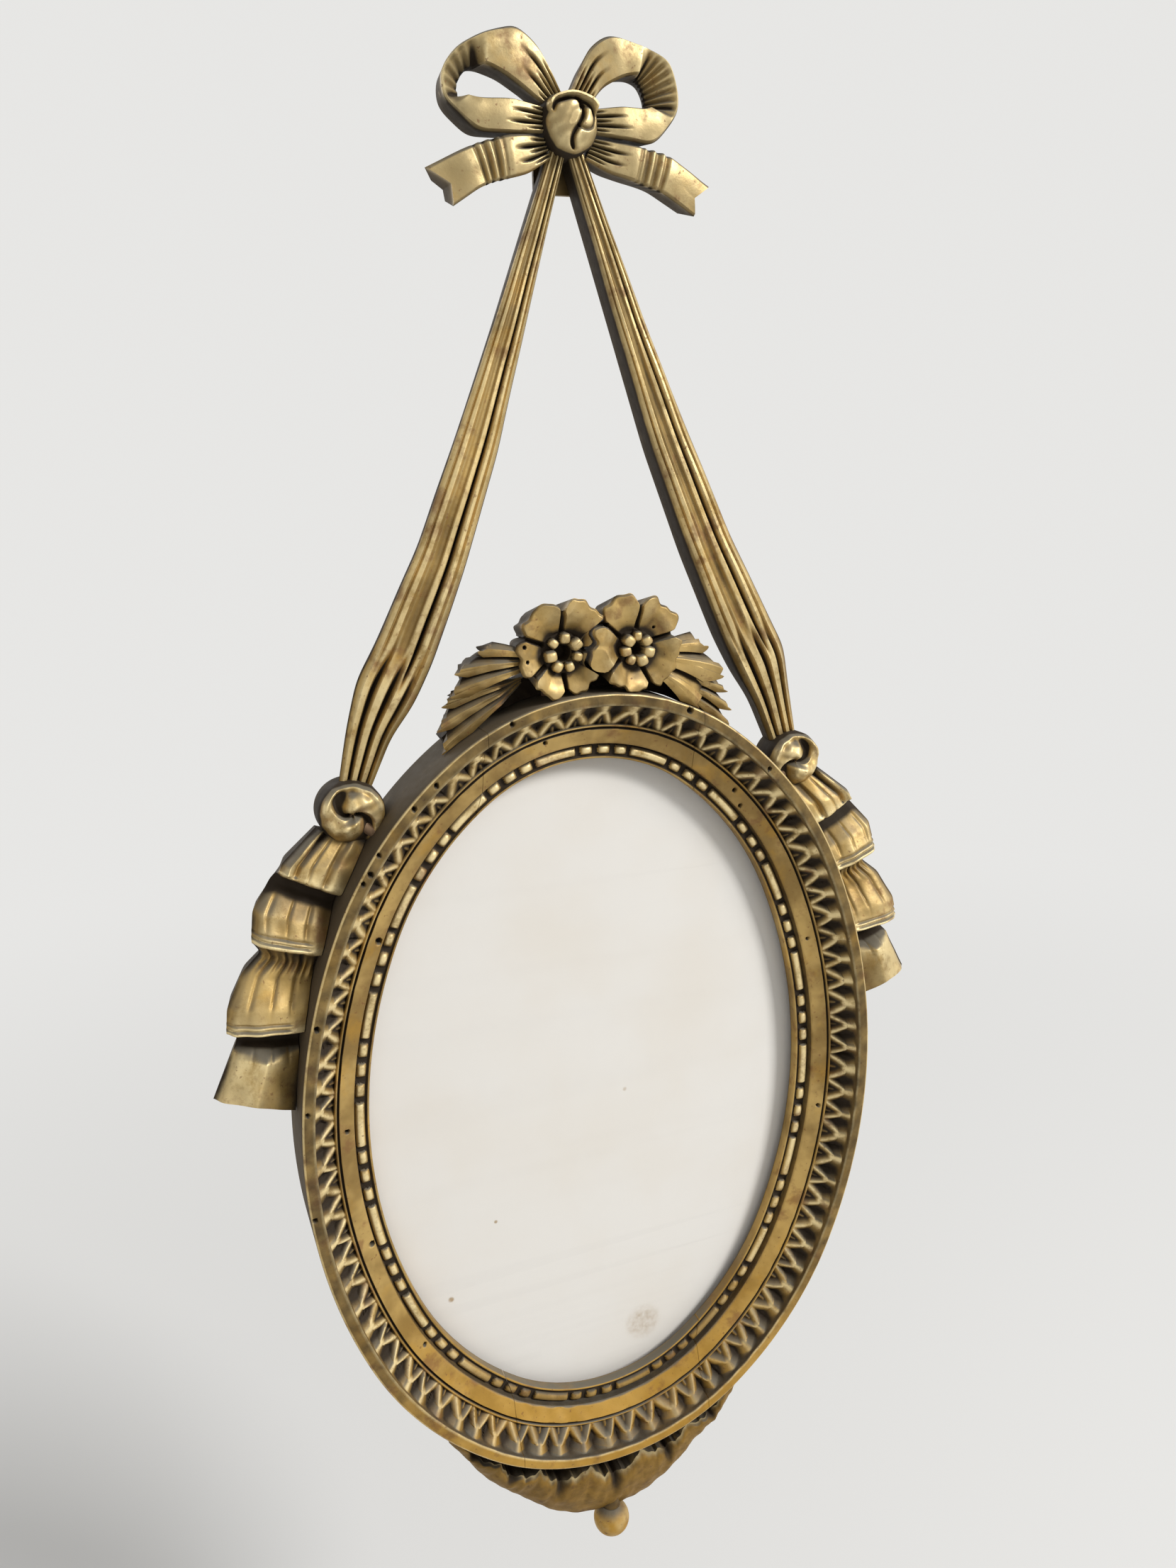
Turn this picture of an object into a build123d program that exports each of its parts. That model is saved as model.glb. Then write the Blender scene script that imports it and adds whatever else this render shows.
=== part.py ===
from build123d import *
import os
from math import asin, cos, degrees, hypot, radians, sin, sqrt

# Carved and gilded oval picture frame with a ribbon bow, hung on a wall by a ring.
# X runs right, Z up and -Y out of the wall towards the viewer. The origin is the point under
# the top of the hanging ring where the wall hook bears.
# Places are given as (x, z) from the oval's centre and as a depth, counted out from the wall.

os.makedirs("parts", exist_ok=True)

# Oval
sight_width = 120.0
sight_height = 180.0
side_arc_angle = 23.2
shoulder_arc_angle = 53.1
shoulder_radius_share = 1.03

# Rail section, from the sight line outward and from the rail's back forward
rabbet_width = 5.0
rabbet_depth = 7.1
lip_thickness = 2.4
sight_fillet_width = 0.7
sight_fillet_height = 0.4
bead_channel_width = 3.3
bead_width = 2.5
bead_top_width = 1.3
bead_height = 1.2
band_step = 2.2
band_width = 4.5
band_rise = 1.6
thin_fillet_width = 0.6
thin_fillet_rise = 0.3
leaf_band_width = 5.3
leaf_band_rise = 4.8
rim_step = 1.3
rim_width = 3.1
rim_edge = 0.6

# Carving of the rail
leaf_count = 82
leaf_hollow_share = 0.34
gouge_tip_share = 0.15
leaf_middle_share = 0.5
leaf_foot_share = 0.06
leaf_length_share = 0.90

# Joints of the rail
rail_joint_x = 27.5
dowel_radius = 1.5
dowel_length = 14.0
dowel_clearance = 0.05
dowel_offset = 10.5
tail_peg_angle = 22.0
pendant_peg_spread = 13.0
dowel_height_share = 0.3

# Picture, glass and back
glass_thickness = 2.0
card_thickness = 0.6
insert_clearance = 0.4
wall_standoff = 2.5
pad_radius = 4.5
pad_offset = 11.5
pad_angles = (235, 305)
button_angles = (45, 135, 225, 315)
button_inset = 4.2
button_reach = 7.5
button_radius = 2.4
button_tip_radius = 1.5
button_thickness = 1.1
button_gap = 0.1
screw_radius = 1.0
screw_length = 5.0
screw_head_radius = 1.6
screw_head_height = 0.8
running_clearance = 0.06

# Bow
bow_above_rail = 123.5
bow_half_width = 33.5
bow_loop_height = 18.0
bow_tail_drop = 17.2
bow_depth = 10.5
knot_radius = 5.7
knot_depth = 12.5
knot_bevel = 2.4
knot_cleft_width = 1.1
knot_cleft_depth = 1.2
ornament_setback = 2.5
seat_gap = 0.25

# Straps from the bow to the side knots
strap_top_width = 3.6
strap_mid_width = 10.1
strap_mid_share = 0.53
strap_sag = 2.4
strap_elbow_width = 13.5
strap_neck_width = 7.0
strap_depth = 10.0
strap_top_rise = 0.8
elbow_rise = 29.0
elbow_inset = 10.0
neck_rise = 5.0
neck_inset = 1.6

# Side knots and ribbon tails
side_knot_angle = 38.0
side_knot_offset = 7.0
side_knot_radius = 7.7
side_knot_depth = 12.5
side_knot_bevel = 3.4
tail_width = 17.5
tail_depth = 12.5

# Crest of flowers and leaves
flower_spacing = 18.6
flower_rise = 11.6
flower_radius = 11.4
petal_radius = 5.1
flower_depth = 17.5
flower_dish = 2.6
stamen_count = 7
stamen_sides = 6
stamen_radius = 1.15
stamen_height = 2.2
flower_eye_radius = 1.5
crest_leaf_height = 18.0
crest_leaf_end_angle = 37.0
crest_leaf_depth = 13.0

# Pendant
pendant_drop = 21.5
pendant_depth = 14.0
ball_radius = 5.1
ball_neck_radius = 2.2
ball_neck_length = 6.0
ball_depth = 6.6

# Hanging ring and its plate
plate_below_knot = 9.0
plate_width = 11.6
plate_height = 6.4
plate_thickness = 1.0
plate_corner = 1.2
plate_screw_spacing = 7.2
knuckle_width = 4.6
knuckle_radius = 1.45
knuckle_sink = 0.5
ring_wire_radius = 0.8
ring_inner_width = 5.4
ring_inner_rise = 8.6

cut_overrun = 1.0


# Values worked out from the driving dimensions
half_width = sight_width / 2
half_height = sight_height / 2
lip_front = rabbet_depth + lip_thickness
band_inner = lip_front + band_step
band_outer = band_inner + band_rise
leaf_outer = band_outer + leaf_band_rise
rail_depth = leaf_outer + rim_step
band_start = sight_fillet_width + bead_channel_width
thin_start = band_start + band_width
leaf_start = thin_start + thin_fillet_width
leaf_end = leaf_start + leaf_band_width
rail_width = leaf_end + rim_width
bead_offset = sight_fillet_width + bead_channel_width / 2
rail_back = wall_standoff
ornament_back = rail_back + ornament_setback
seat_offset = rail_width + seat_gap
rail_top = half_height + rail_width
bow_z = rail_top + bow_above_rail
plate_z = bow_z - plate_below_knot
ring_axis_depth = ornament_back - plate_thickness - knuckle_radius + knuckle_sink
ring_axis_z = plate_z + plate_height / 2
hang_z = ring_axis_z + ring_inner_rise


def at(x, depth, z):
    """Point of the model from its place on the oval's front view and its depth from the wall."""
    return Vector(x, ring_axis_depth - depth, z - hang_z)


def front_plane(depth):
    """Plane facing the viewer, with the oval's centre as its origin."""
    return Plane(origin=at(0, depth, 0), x_dir=(1, 0, 0), z_dir=(0, -1, 0))


# The oval: side, shoulder and end arcs, tangent to each other
side_turn = radians(side_arc_angle)
end_turn = radians(shoulder_arc_angle)
shoulder_radius = shoulder_radius_share * sqrt(half_width * half_height)
width_left = half_width - shoulder_radius * (cos(side_turn) - cos(end_turn))
height_left = half_height - shoulder_radius * (sin(end_turn) - sin(side_turn))
arc_determinant = (1 - cos(side_turn)) * (1 - sin(end_turn)) - cos(end_turn) * sin(side_turn)
side_radius = (width_left * (1 - sin(end_turn)) - height_left * cos(end_turn)) / arc_determinant
end_radius = (height_left * (1 - cos(side_turn)) - width_left * sin(side_turn)) / arc_determinant
side_x = half_width - side_radius
end_z = half_height - end_radius
shoulder_x = side_x + (side_radius - shoulder_radius) * cos(side_turn)
shoulder_z = (side_radius - shoulder_radius) * sin(side_turn)
shoulder_span = shoulder_arc_angle - side_arc_angle
end_span = 180 - 2 * shoulder_arc_angle

# Each arc: centre x, centre z, radius of the sight line, start angle, span; from the top, leftward
oval_arcs = (
    (0, end_z, end_radius, shoulder_arc_angle, end_span),
    (-shoulder_x, shoulder_z, shoulder_radius, 180 - shoulder_arc_angle, shoulder_span),
    (-side_x, 0, side_radius, 180 - side_arc_angle, 2 * side_arc_angle),
    (-shoulder_x, -shoulder_z, shoulder_radius, 180 + side_arc_angle, shoulder_span),
    (0, -end_z, end_radius, 180 + shoulder_arc_angle, end_span),
    (shoulder_x, -shoulder_z, shoulder_radius, 360 - shoulder_arc_angle, shoulder_span),
    (side_x, 0, side_radius, 360 - side_arc_angle, 2 * side_arc_angle),
    (shoulder_x, shoulder_z, shoulder_radius, side_arc_angle, shoulder_span),
)


def oval_point(angle, offset):
    """Front-view place on the curve parallel to the sight line, where its outward normal has an angle."""
    for x, z, radius, start, span in oval_arcs:
        if (angle - start) % 360 <= span:
            reach = radius + offset
            return x + reach * cos(radians(angle)), z + reach * sin(radians(angle))
    raise ValueError("no arc of the oval has this angle")


def oval_length(offset):
    """Length of the curve parallel to the sight line."""
    return sum((radius + offset) * radians(span) for _, _, radius, _, span in oval_arcs)


def oval_angles(count, offset, start_share):
    """Normal angles of points spaced evenly along the parallel curve, from the top centre."""
    lengths = [(radius + offset) * radians(span) for _, _, radius, _, span in oval_arcs]
    pitch = sum(lengths) / count
    angles = []
    for index in range(count):
        run = (lengths[0] / 2 + (index + start_share) * pitch) % sum(lengths)
        arc = 0
        while run > lengths[arc]:
            run -= lengths[arc]
            arc += 1
        _, _, radius, start, _ = oval_arcs[arc]
        angles.append(start + degrees(run / (radius + offset)))
    return angles


def oval_sketch(offset, depth):
    """Oval face at an offset from the sight line."""
    with BuildSketch(front_plane(depth)) as oval:
        with BuildLine():
            for x, z, radius, start, span in oval_arcs:
                CenterArc((x, z), radius + offset, start, span)
        make_face()
    return oval.sketch


def section_plane(angle, offset, height):
    """Plane across the rail: its X runs outward and its Y forward from a point of the section."""
    x, z = oval_point(angle, offset)
    outward = Vector(cos(radians(angle)), 0, sin(radians(angle)))
    return Plane(at(x, rail_back + height, z), x_dir=outward, z_dir=outward.cross(Vector(0, -1, 0)))


def rail_section(angle):
    """Moulded section of the rail, with the rabbet behind and the bead in its channel."""
    with BuildSketch(section_plane(angle, 0, 0)) as section:
        with BuildLine():
            Polyline(
                (rabbet_width, 0),
                (rabbet_width, rabbet_depth),
                (0, rabbet_depth),
                (0, lip_front + sight_fillet_height),
                (sight_fillet_width, lip_front + sight_fillet_height),
                (sight_fillet_width, lip_front),
                (bead_offset - bead_width / 2, lip_front),
                (bead_offset - bead_top_width / 2, lip_front + bead_height),
                (bead_offset + bead_top_width / 2, lip_front + bead_height),
                (bead_offset + bead_width / 2, lip_front),
                (band_start, lip_front),
                (band_start, band_inner),
                (thin_start, band_outer),
                (thin_start, band_outer + thin_fillet_rise),
                (leaf_start, band_outer + thin_fillet_rise),
                (leaf_start, band_outer),
                (leaf_end, leaf_outer),
                (leaf_end, rail_depth),
                (rail_width - rim_edge, rail_depth),
                (rail_width, rail_depth - rim_edge),
                (rail_width, 0),
                close=True,
            )
        make_face()
    return section.sketch


def band_place(angle, share):
    """Place on the sloping leaf band, with Z along the slope, outward."""
    offset = leaf_start + share * leaf_band_width
    height = band_outer + share * leaf_band_rise
    x, z = oval_point(angle, offset)
    normal = Vector(cos(radians(angle)), 0, sin(radians(angle)))
    slope = normal * leaf_band_width + Vector(0, -leaf_band_rise, 0)
    tangent = normal.cross(Vector(0, -1, 0))
    return Plane(at(x, rail_back + height, z), x_dir=tangent, z_dir=slope).location


def gouge(places, reach, length):
    """V-shaped gouge cuts that start at a point and widen along Z to a reach on each side."""
    side = sqrt(2) * reach
    tip = gouge_tip_share * side
    low, high = (side - tip) / 2, (side + tip) / 2
    turned = [place * Location((0, 0, 0), (-90, 45, 0)) for place in places]
    with Locations(*turned):
        Wedge(
            side,
            length,
            side,
            low,
            low,
            high,
            high,
            align=(Align.CENTER, Align.MAX, Align.CENTER),
            mode=Mode.SUBTRACT,
        )


def front_place(x, depth, z):
    """Place facing the viewer, with Z towards the viewer."""
    return Plane(at(x, depth, z), x_dir=(1, 0, 0), z_dir=(0, -1, 0)).location


def peg_place(point, depth, direction):
    """Place of a dowel: its middle, its depth and its direction in the front view."""
    x, z = point
    across, up = direction
    return Plane(at(x, depth, z), x_dir=(0, 1, 0), z_dir=(across, 0, up)).location


def pegs(places, length):
    """Round dowels."""
    with Locations(*places):
        Cylinder(dowel_radius, length)


def drill(places, length):
    """Holes for dowels, with room for glue."""
    with Locations(*places):
        Cylinder(dowel_radius + dowel_clearance, length + 2 * dowel_clearance, mode=Mode.SUBTRACT)


def pilot_holes(places):
    """Holes in the wood for the shanks of screws."""
    with Locations(*places):
        Cylinder(
            screw_radius,
            screw_length,
            align=(Align.CENTER, Align.CENTER, Align.MIN),
            mode=Mode.SUBTRACT,
        )


def strip(stations, back, depth):
    """Carved strip lofted through upright sections.

    A station is an inner edge point, an outer edge point and the heights of the front across the
    width, as shares of the depth.
    """
    faces = []
    for (inner_x, inner_z), (outer_x, outer_z), height_shares in stations:
        run = Vector(outer_x - inner_x, 0, outer_z - inner_z)
        width = run.length
        last = len(height_shares) - 1
        front = [
            (width * (last - i) / last, depth * height_shares[last - i]) for i in range(last + 1)
        ]
        plane = Plane(at(inner_x, back, inner_z), x_dir=run, z_dir=run.cross(Vector(0, -1, 0)))
        with BuildSketch(plane) as section:
            with BuildLine():
                Polyline((0, 0), (width, 0), *front, close=True)
            make_face()
        faces.append(section.sketch)
    loft(faces, ruled=True)


def rail_seat(depth):
    """Room for the rail's outer wall, cut from an ornament that is fixed against it."""
    extrude(oval_sketch(seat_offset, 0), amount=depth, mode=Mode.SUBTRACT)


def finish(piece, name):
    """Names a piece and writes it."""
    piece.part.label = name
    export_step(piece.part, f"parts/{name}.step")


# Rail: a moulded ring, carved, then cut into two sides, a top and a bottom
joint_depth = rail_back + dowel_height_share * rail_depth
joint_rise = sqrt((end_radius + dowel_offset) ** 2 - rail_joint_x**2)
joint_z = end_z + joint_rise
rail_peg_places = [
    peg_place((x, z), joint_depth, (1, 0))
    for x in (-rail_joint_x, rail_joint_x)
    for z in (-joint_z, joint_z)
]

button_offset = rabbet_width + button_inset
button_points = [oval_point(angle, button_offset) for angle in button_angles]
slope_length = hypot(leaf_band_width, leaf_band_rise)
leaf_pitch = oval_length(leaf_end) / leaf_count
leaf_angles = oval_angles(leaf_count, leaf_end, leaf_middle_share)

# Pegs that hold the ornaments to the rail, placed half in the rail and half in the ornament
ornament_depth = ornament_back + tail_depth / 2
flower_x = flower_spacing / 2
flower_z = rail_top + flower_rise
side_knot_x, side_knot_z = oval_point(side_knot_angle, rail_width + side_knot_offset)
crest_peg_places = [
    peg_place((side * flower_x, rail_top), ornament_depth, (0, 1)) for side in (-1, 1)
]


def wall_peg(side, angle):
    """Dowel across the rail's outer wall, square to it."""
    x, z = oval_point(angle, rail_width)
    return peg_place((side * x, z), ornament_depth, (side * cos(radians(angle)), sin(radians(angle))))


side_peg_places = [
    wall_peg(side, angle) for side in (-1, 1) for angle in (side_knot_angle, tail_peg_angle)
]
pendant_peg_places = [wall_peg(side, pendant_peg_spread - 90) for side in (-1, 1)]

with BuildPart() as rail_ring:
    for arc_x, arc_z, _, arc_start, arc_span in oval_arcs:
        arc_axis = Axis(at(arc_x, 0, arc_z), (0, -1, 0))
        revolve(rail_section(arc_start), axis=arc_axis, revolution_arc=arc_span)
    gouge(
        [band_place(a, leaf_foot_share) for a in leaf_angles],
        leaf_hollow_share * leaf_pitch,
        leaf_length_share * slope_length,
    )
    drill(rail_peg_places + crest_peg_places + side_peg_places + pendant_peg_places, dowel_length)
    pilot_holes([front_place(x, rail_back, z) for x, z in button_points])

left_joint = Plane.YZ.offset(-rail_joint_x)
right_joint = Plane.YZ.offset(rail_joint_x)
middle = Plane.XY.offset(-hang_z)

with BuildPart() as rail_left:
    add(rail_ring.part)
    split(bisect_by=left_joint, keep=Keep.BOTTOM)
finish(rail_left, "rail_left")

with BuildPart() as rail_right:
    add(rail_ring.part)
    split(bisect_by=right_joint, keep=Keep.TOP)
finish(rail_right, "rail_right")

with BuildPart() as rail_top_piece:
    add(rail_ring.part)
    split(bisect_by=left_joint, keep=Keep.TOP)
    split(bisect_by=right_joint, keep=Keep.BOTTOM)
    split(bisect_by=middle, keep=Keep.TOP)
finish(rail_top_piece, "rail_top")

with BuildPart() as rail_bottom:
    add(rail_ring.part)
    split(bisect_by=left_joint, keep=Keep.TOP)
    split(bisect_by=right_joint, keep=Keep.BOTTOM)
    split(bisect_by=middle, keep=Keep.BOTTOM)
finish(rail_bottom, "rail_bottom")

with BuildPart() as rail_dowels:
    pegs(rail_peg_places, dowel_length)
finish(rail_dowels, "rail_dowels")

with BuildPart() as ornament_dowels:
    pegs(crest_peg_places + side_peg_places + pendant_peg_places, dowel_length)
finish(ornament_dowels, "ornament_dowels")


# Glass, picture card and backing board, stacked in the rabbet
insert_offset = rabbet_width - insert_clearance
board_thickness = rabbet_depth - glass_thickness - card_thickness
card_depth = rail_back + board_thickness
glass_depth = card_depth + card_thickness

with BuildPart() as glass:
    extrude(oval_sketch(insert_offset, glass_depth), amount=glass_thickness)
finish(glass, "glass")

with BuildPart() as picture_card:
    extrude(oval_sketch(insert_offset, card_depth), amount=card_thickness)
finish(picture_card, "picture_card")

with BuildPart() as backing_board:
    extrude(oval_sketch(insert_offset, rail_back), amount=board_thickness)
finish(backing_board, "backing_board")


# Turn buttons that hold the board in, each on a screw
button_depth = rail_back - button_gap - button_thickness
button_names = ("upper_right", "upper_left", "lower_left", "lower_right")
for (button_x, button_z), button_angle, button_name in zip(button_points, button_angles, button_names):
    button_plane = Plane(
        at(button_x, button_depth, button_z),
        x_dir=(-cos(radians(button_angle)), 0, -sin(radians(button_angle))),
        z_dir=(0, -1, 0),
    )
    with BuildPart() as turn_button:
        with BuildSketch(button_plane):
            Circle(button_radius)
            with Locations((button_reach, 0)):
                Circle(button_tip_radius)
            make_hull()
            Circle(screw_radius + running_clearance, mode=Mode.SUBTRACT)
        extrude(amount=button_thickness)
    finish(turn_button, f"turn_button_{button_name}")


def screws(places, grip):
    """Screws: the head lies outside the place, and the shank passes the grip inward."""
    with Locations(*places):
        Cylinder(screw_radius, grip + screw_length, align=(Align.CENTER, Align.CENTER, Align.MIN))
        Cylinder(
            screw_head_radius,
            screw_head_height,
            align=(Align.CENTER, Align.CENTER, Align.MAX),
        )


button_grip = button_thickness + button_gap
with BuildPart() as turn_button_screws:
    screws([front_place(x, button_depth - button_gap, z) for x, z in button_points], button_grip)
finish(turn_button_screws, "turn_button_screws")

with BuildPart() as wall_pads:
    with Locations(*[front_place(x, 0, z) for x, z in [oval_point(a, pad_offset) for a in pad_angles]]):
        Cylinder(pad_radius, wall_standoff, align=(Align.CENTER, Align.CENTER, Align.MIN))
finish(wall_pads, "wall_pads")


# Bow: stations as shares of its half width and of its height above and below the knot
loop_shares = (
    ((0.15, 0.28), (0.07, 0.38), (0.80, 0.86, 0.80)),
    ((0.33, 0.44), (0.22, 0.82), (0.72, 0.95, 0.86)),
    ((0.50, 0.62), (0.42, 1.00), (0.74, 1.00, 0.84)),
    ((0.68, 0.64), (0.72, 0.86), (0.84, 0.94, 0.80)),
    ((0.73, 0.46), (0.85, 0.53), (0.86, 0.92, 0.84)),
    ((0.70, 0.29), (0.82, 0.20), (0.88, 0.95, 0.84)),
    ((0.57, 0.25), (0.63, -0.13), (0.90, 1.00, 0.80)),
    ((0.38, 0.25), (0.40, -0.15), (0.86, 0.98, 0.76)),
    ((0.18, 0.19), (0.17, -0.09), (0.80, 0.86, 0.74)),
)
tail_shares = (
    ((0.13, -0.28), (0.17, -0.13), (0.74, 0.80, 0.74)),
    ((0.25, -0.56), (0.27, -0.20), (0.74, 0.90, 0.80)),
    ((0.42, -0.68), (0.43, -0.21), (0.88, 1.00, 0.92)),
    ((0.50, -0.69), (0.55, -0.20), (0.80, 0.88, 0.82)),
    ((0.58, -0.74), (0.68, -0.25), (0.92, 1.00, 0.92)),
    ((0.80, -1.00), (1.00, -0.58), (0.70, 0.76, 0.70)),
)
notch_shares = ((0.80, -1.00), (0.82, -0.78), (1.00, -0.58))


def bow_point(side, across_share, up_share):
    """Point of the bow from its shares."""
    height = bow_loop_height if up_share > 0 else bow_tail_drop
    return side * across_share * bow_half_width, bow_z + up_share * height


def bow_stations(side, table):
    """Stations of one ribbon of the bow."""
    return [(bow_point(side, *inner), bow_point(side, *outer), heights) for inner, outer, heights in table]


def knot_seat():
    """Room for the round knot, cut from the ribbons that meet it."""
    with Locations(front_place(0, 0, bow_z)):
        Cylinder(
            knot_radius + seat_gap,
            ornament_back + bow_depth + cut_overrun,
            align=(Align.CENTER, Align.CENTER, Align.MIN),
            mode=Mode.SUBTRACT,
        )


side_names = {-1: "left", 1: "right"}
plate_screw_xs = [side * plate_screw_spacing / 2 for side in side_names]

for side, side_name in side_names.items():
    with BuildPart() as bow_loop:
        strip(bow_stations(side, loop_shares), ornament_back, bow_depth)
        knot_seat()
    finish(bow_loop, f"bow_loop_{side_name}")

    with BuildPart() as bow_tail:
        strip(bow_stations(side, tail_shares), ornament_back, bow_depth)
        knot_seat()
        with BuildSketch(front_plane(ornament_back)):
            with BuildLine():
                Polyline(*[bow_point(side, *point) for point in notch_shares], close=True)
            make_face()
        extrude(amount=bow_depth, mode=Mode.SUBTRACT)
    finish(bow_tail, f"bow_tail_{side_name}")


def s_cleft(x, z, radius, front):
    """S-shaped cleft carved across the front of a knot: two half turns about its middle."""
    bend = radius / 2
    with BuildSketch(front_plane(front)) as cleft:
        SlotArc(CenterArc((x, z + bend), bend, 90, 180), knot_cleft_width)
        SlotArc(CenterArc((x, z - bend), bend, -90, 180), knot_cleft_width)
    extrude(cleft.sketch, amount=-knot_cleft_depth, mode=Mode.SUBTRACT)


with BuildPart() as bow_knot:
    with Locations(front_place(0, ornament_back, bow_z)):
        Cylinder(knot_radius, knot_depth, align=(Align.CENTER, Align.CENTER, Align.MIN))
    chamfer(bow_knot.edges().filter_by(GeomType.CIRCLE).sort_by(Axis.Y)[0], length=knot_bevel)
    s_cleft(0, bow_z, knot_radius - knot_bevel / 2, ornament_back + knot_depth)
finish(bow_knot, "bow_knot")


# Straps: fluted, widening from the bow to an elbow, then drawn in as pleats at the side knot
strap_shares = (0.76, 0.95, 0.60, 1.00, 0.84, 0.94, 0.74)
elbow_shares = (0.66, 0.92, 0.70, 1.00, 0.78, 0.96, 0.70)
neck_shares = (0.50, 0.72, 0.56, 0.80, 0.58, 0.74, 0.52)
strap_top_z = bow_z - knot_radius + strap_top_rise
elbow_x = side_knot_x - elbow_inset
elbow_z = side_knot_z + elbow_rise
neck_x = side_knot_x - neck_inset
neck_z = side_knot_z + neck_rise


def across(start, end, centre, width, height_shares, side):
    """Station square to a run, with its inner edge towards the oval's middle line."""
    run_x, run_z = end[0] - start[0], end[1] - start[1]
    length = hypot(run_x, run_z)
    out_x, out_z = -run_z / length * width / 2, run_x / length * width / 2
    inner = (side * (centre[0] - out_x), centre[1] - out_z)
    outer = (side * (centre[0] + out_x), centre[1] + out_z)
    return inner, outer, height_shares


def strap_stations(side):
    """Stations of a strap, from the bow down."""
    lean = hypot(elbow_x, strap_top_z - elbow_z) / (strap_top_z - elbow_z)
    top = (seat_gap / 2 + strap_top_width / 2 * lean, strap_top_z)
    elbow = (elbow_x, elbow_z)
    neck = (neck_x, neck_z)
    run_x, run_z = elbow[0] - top[0], elbow[1] - top[1]
    sag_share = strap_sag / hypot(run_x, run_z)
    middle = (
        top[0] + strap_mid_share * run_x + sag_share * run_z,
        top[1] + strap_mid_share * run_z - sag_share * run_x,
    )
    return (
        across(top, elbow, top, strap_top_width, strap_shares, side),
        across(top, elbow, middle, strap_mid_width, strap_shares, side),
        across(top, elbow, elbow, strap_elbow_width, elbow_shares, side),
        across(elbow, neck, neck, strap_neck_width, neck_shares, side),
    )


def side_knot_seat(side):
    """Room for a side knot, cut from the strap and the tail that meet it."""
    with Locations(front_place(side * side_knot_x, 0, side_knot_z)):
        Cylinder(
            side_knot_radius + seat_gap,
            ornament_back + tail_depth + strap_depth,
            align=(Align.CENTER, Align.CENTER, Align.MIN),
            mode=Mode.SUBTRACT,
        )


# Ribbon tails beside the rail: inner angle, outer angle, width and front heights of each station
ribbon_shares = (
    (36.0, 37.0, 0.50, (0.62, 0.70, 0.62)),
    (29.5, 33.5, 0.80, (0.66, 0.76, 0.62)),
    (27.5, 31.5, 0.92, (0.42, 0.48, 0.44)),
    (24.5, 27.0, 0.98, (0.84, 0.94, 0.78)),
    (20.8, 22.4, 0.93, (0.92, 1.00, 0.84)),
    (19.6, 21.2, 0.88, (0.46, 0.50, 0.44)),
    (16.6, 17.8, 1.00, (0.82, 0.92, 0.76)),
    (13.0, 14.2, 0.97, (0.90, 1.00, 0.82)),
    (12.0, 13.0, 0.90, (0.42, 0.46, 0.40)),
    (9.4, 10.8, 0.94, (0.70, 0.80, 0.64)),
    (5.0, 7.0, 1.06, (0.78, 0.62, 0.56)),
)


def ribbon_stations(side):
    """Stations of a side tail, from the knot down, following the rail's outer wall."""
    stations = []
    for inner_angle, outer_angle, width_share, height_shares in ribbon_shares:
        inner_x, inner_z = oval_point(inner_angle, seat_offset)
        outer_x, outer_z = oval_point(outer_angle, seat_offset + width_share * tail_width)
        stations.append(((side * inner_x, inner_z), (side * outer_x, outer_z), height_shares))
    return stations


for side, side_name in side_names.items():
    with BuildPart() as strap:
        strip(strap_stations(side), ornament_back, strap_depth)
        knot_seat()
        side_knot_seat(side)
        rail_seat(rail_back + rail_depth)
        pilot_holes([front_place(x, ornament_back, plate_z) for x in plate_screw_xs])
    finish(strap, f"strap_{side_name}")

    with BuildPart() as side_knot:
        with Locations(front_place(side * side_knot_x, ornament_back, side_knot_z)):
            Cylinder(side_knot_radius, side_knot_depth, align=(Align.CENTER, Align.CENTER, Align.MIN))
        chamfer(side_knot.edges().filter_by(GeomType.CIRCLE).sort_by(Axis.Y)[0], length=side_knot_bevel)
        s_cleft(
            side * side_knot_x,
            side_knot_z,
            side_knot_radius - side_knot_bevel / 2,
            ornament_back + side_knot_depth,
        )
        rail_seat(rail_back + rail_depth)
        drill(side_peg_places, dowel_length)
    finish(side_knot, f"side_knot_{side_name}")

    with BuildPart() as side_tail:
        strip(ribbon_stations(side), ornament_back, tail_depth)
        side_knot_seat(side)
        rail_seat(rail_back + rail_depth)
        drill(side_peg_places, dowel_length)
    finish(side_tail, f"side_tail_{side_name}")


# Crest: two five-petalled flowers, the right one in front, and a toothed leaf on each side
petal_angles = {-1: (60, 127, 186, 240, 306), 1: (58, 114, 171, 248, 337)}
crest_leaf_shares = (
    (0.00, 0.00, 1.00, (0.66, 0.86, 0.72, 0.62)),
    (0.22, 0.25, 0.86, (0.74, 0.90, 0.70, 0.58)),
    (0.35, 0.42, 0.98, (0.78, 1.00, 0.84, 0.66)),
    (0.44, 0.51, 0.78, (0.76, 0.90, 0.70, 0.58)),
    (0.53, 0.68, 0.84, (0.74, 0.86, 0.72, 0.56)),
    (0.66, 0.78, 0.56, (0.72, 0.84, 0.66, 0.50)),
    (0.78, 0.93, 0.52, (0.68, 0.80, 0.62, 0.46)),
    (0.95, 1.00, 0.12, (0.54, 0.56, 0.52, 0.44)),
)
crest_leaf_clear_x = flower_x + dowel_radius + dowel_clearance + seat_gap
crest_leaf_start_angle = degrees(asin(crest_leaf_clear_x / (end_radius + seat_offset)))


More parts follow.
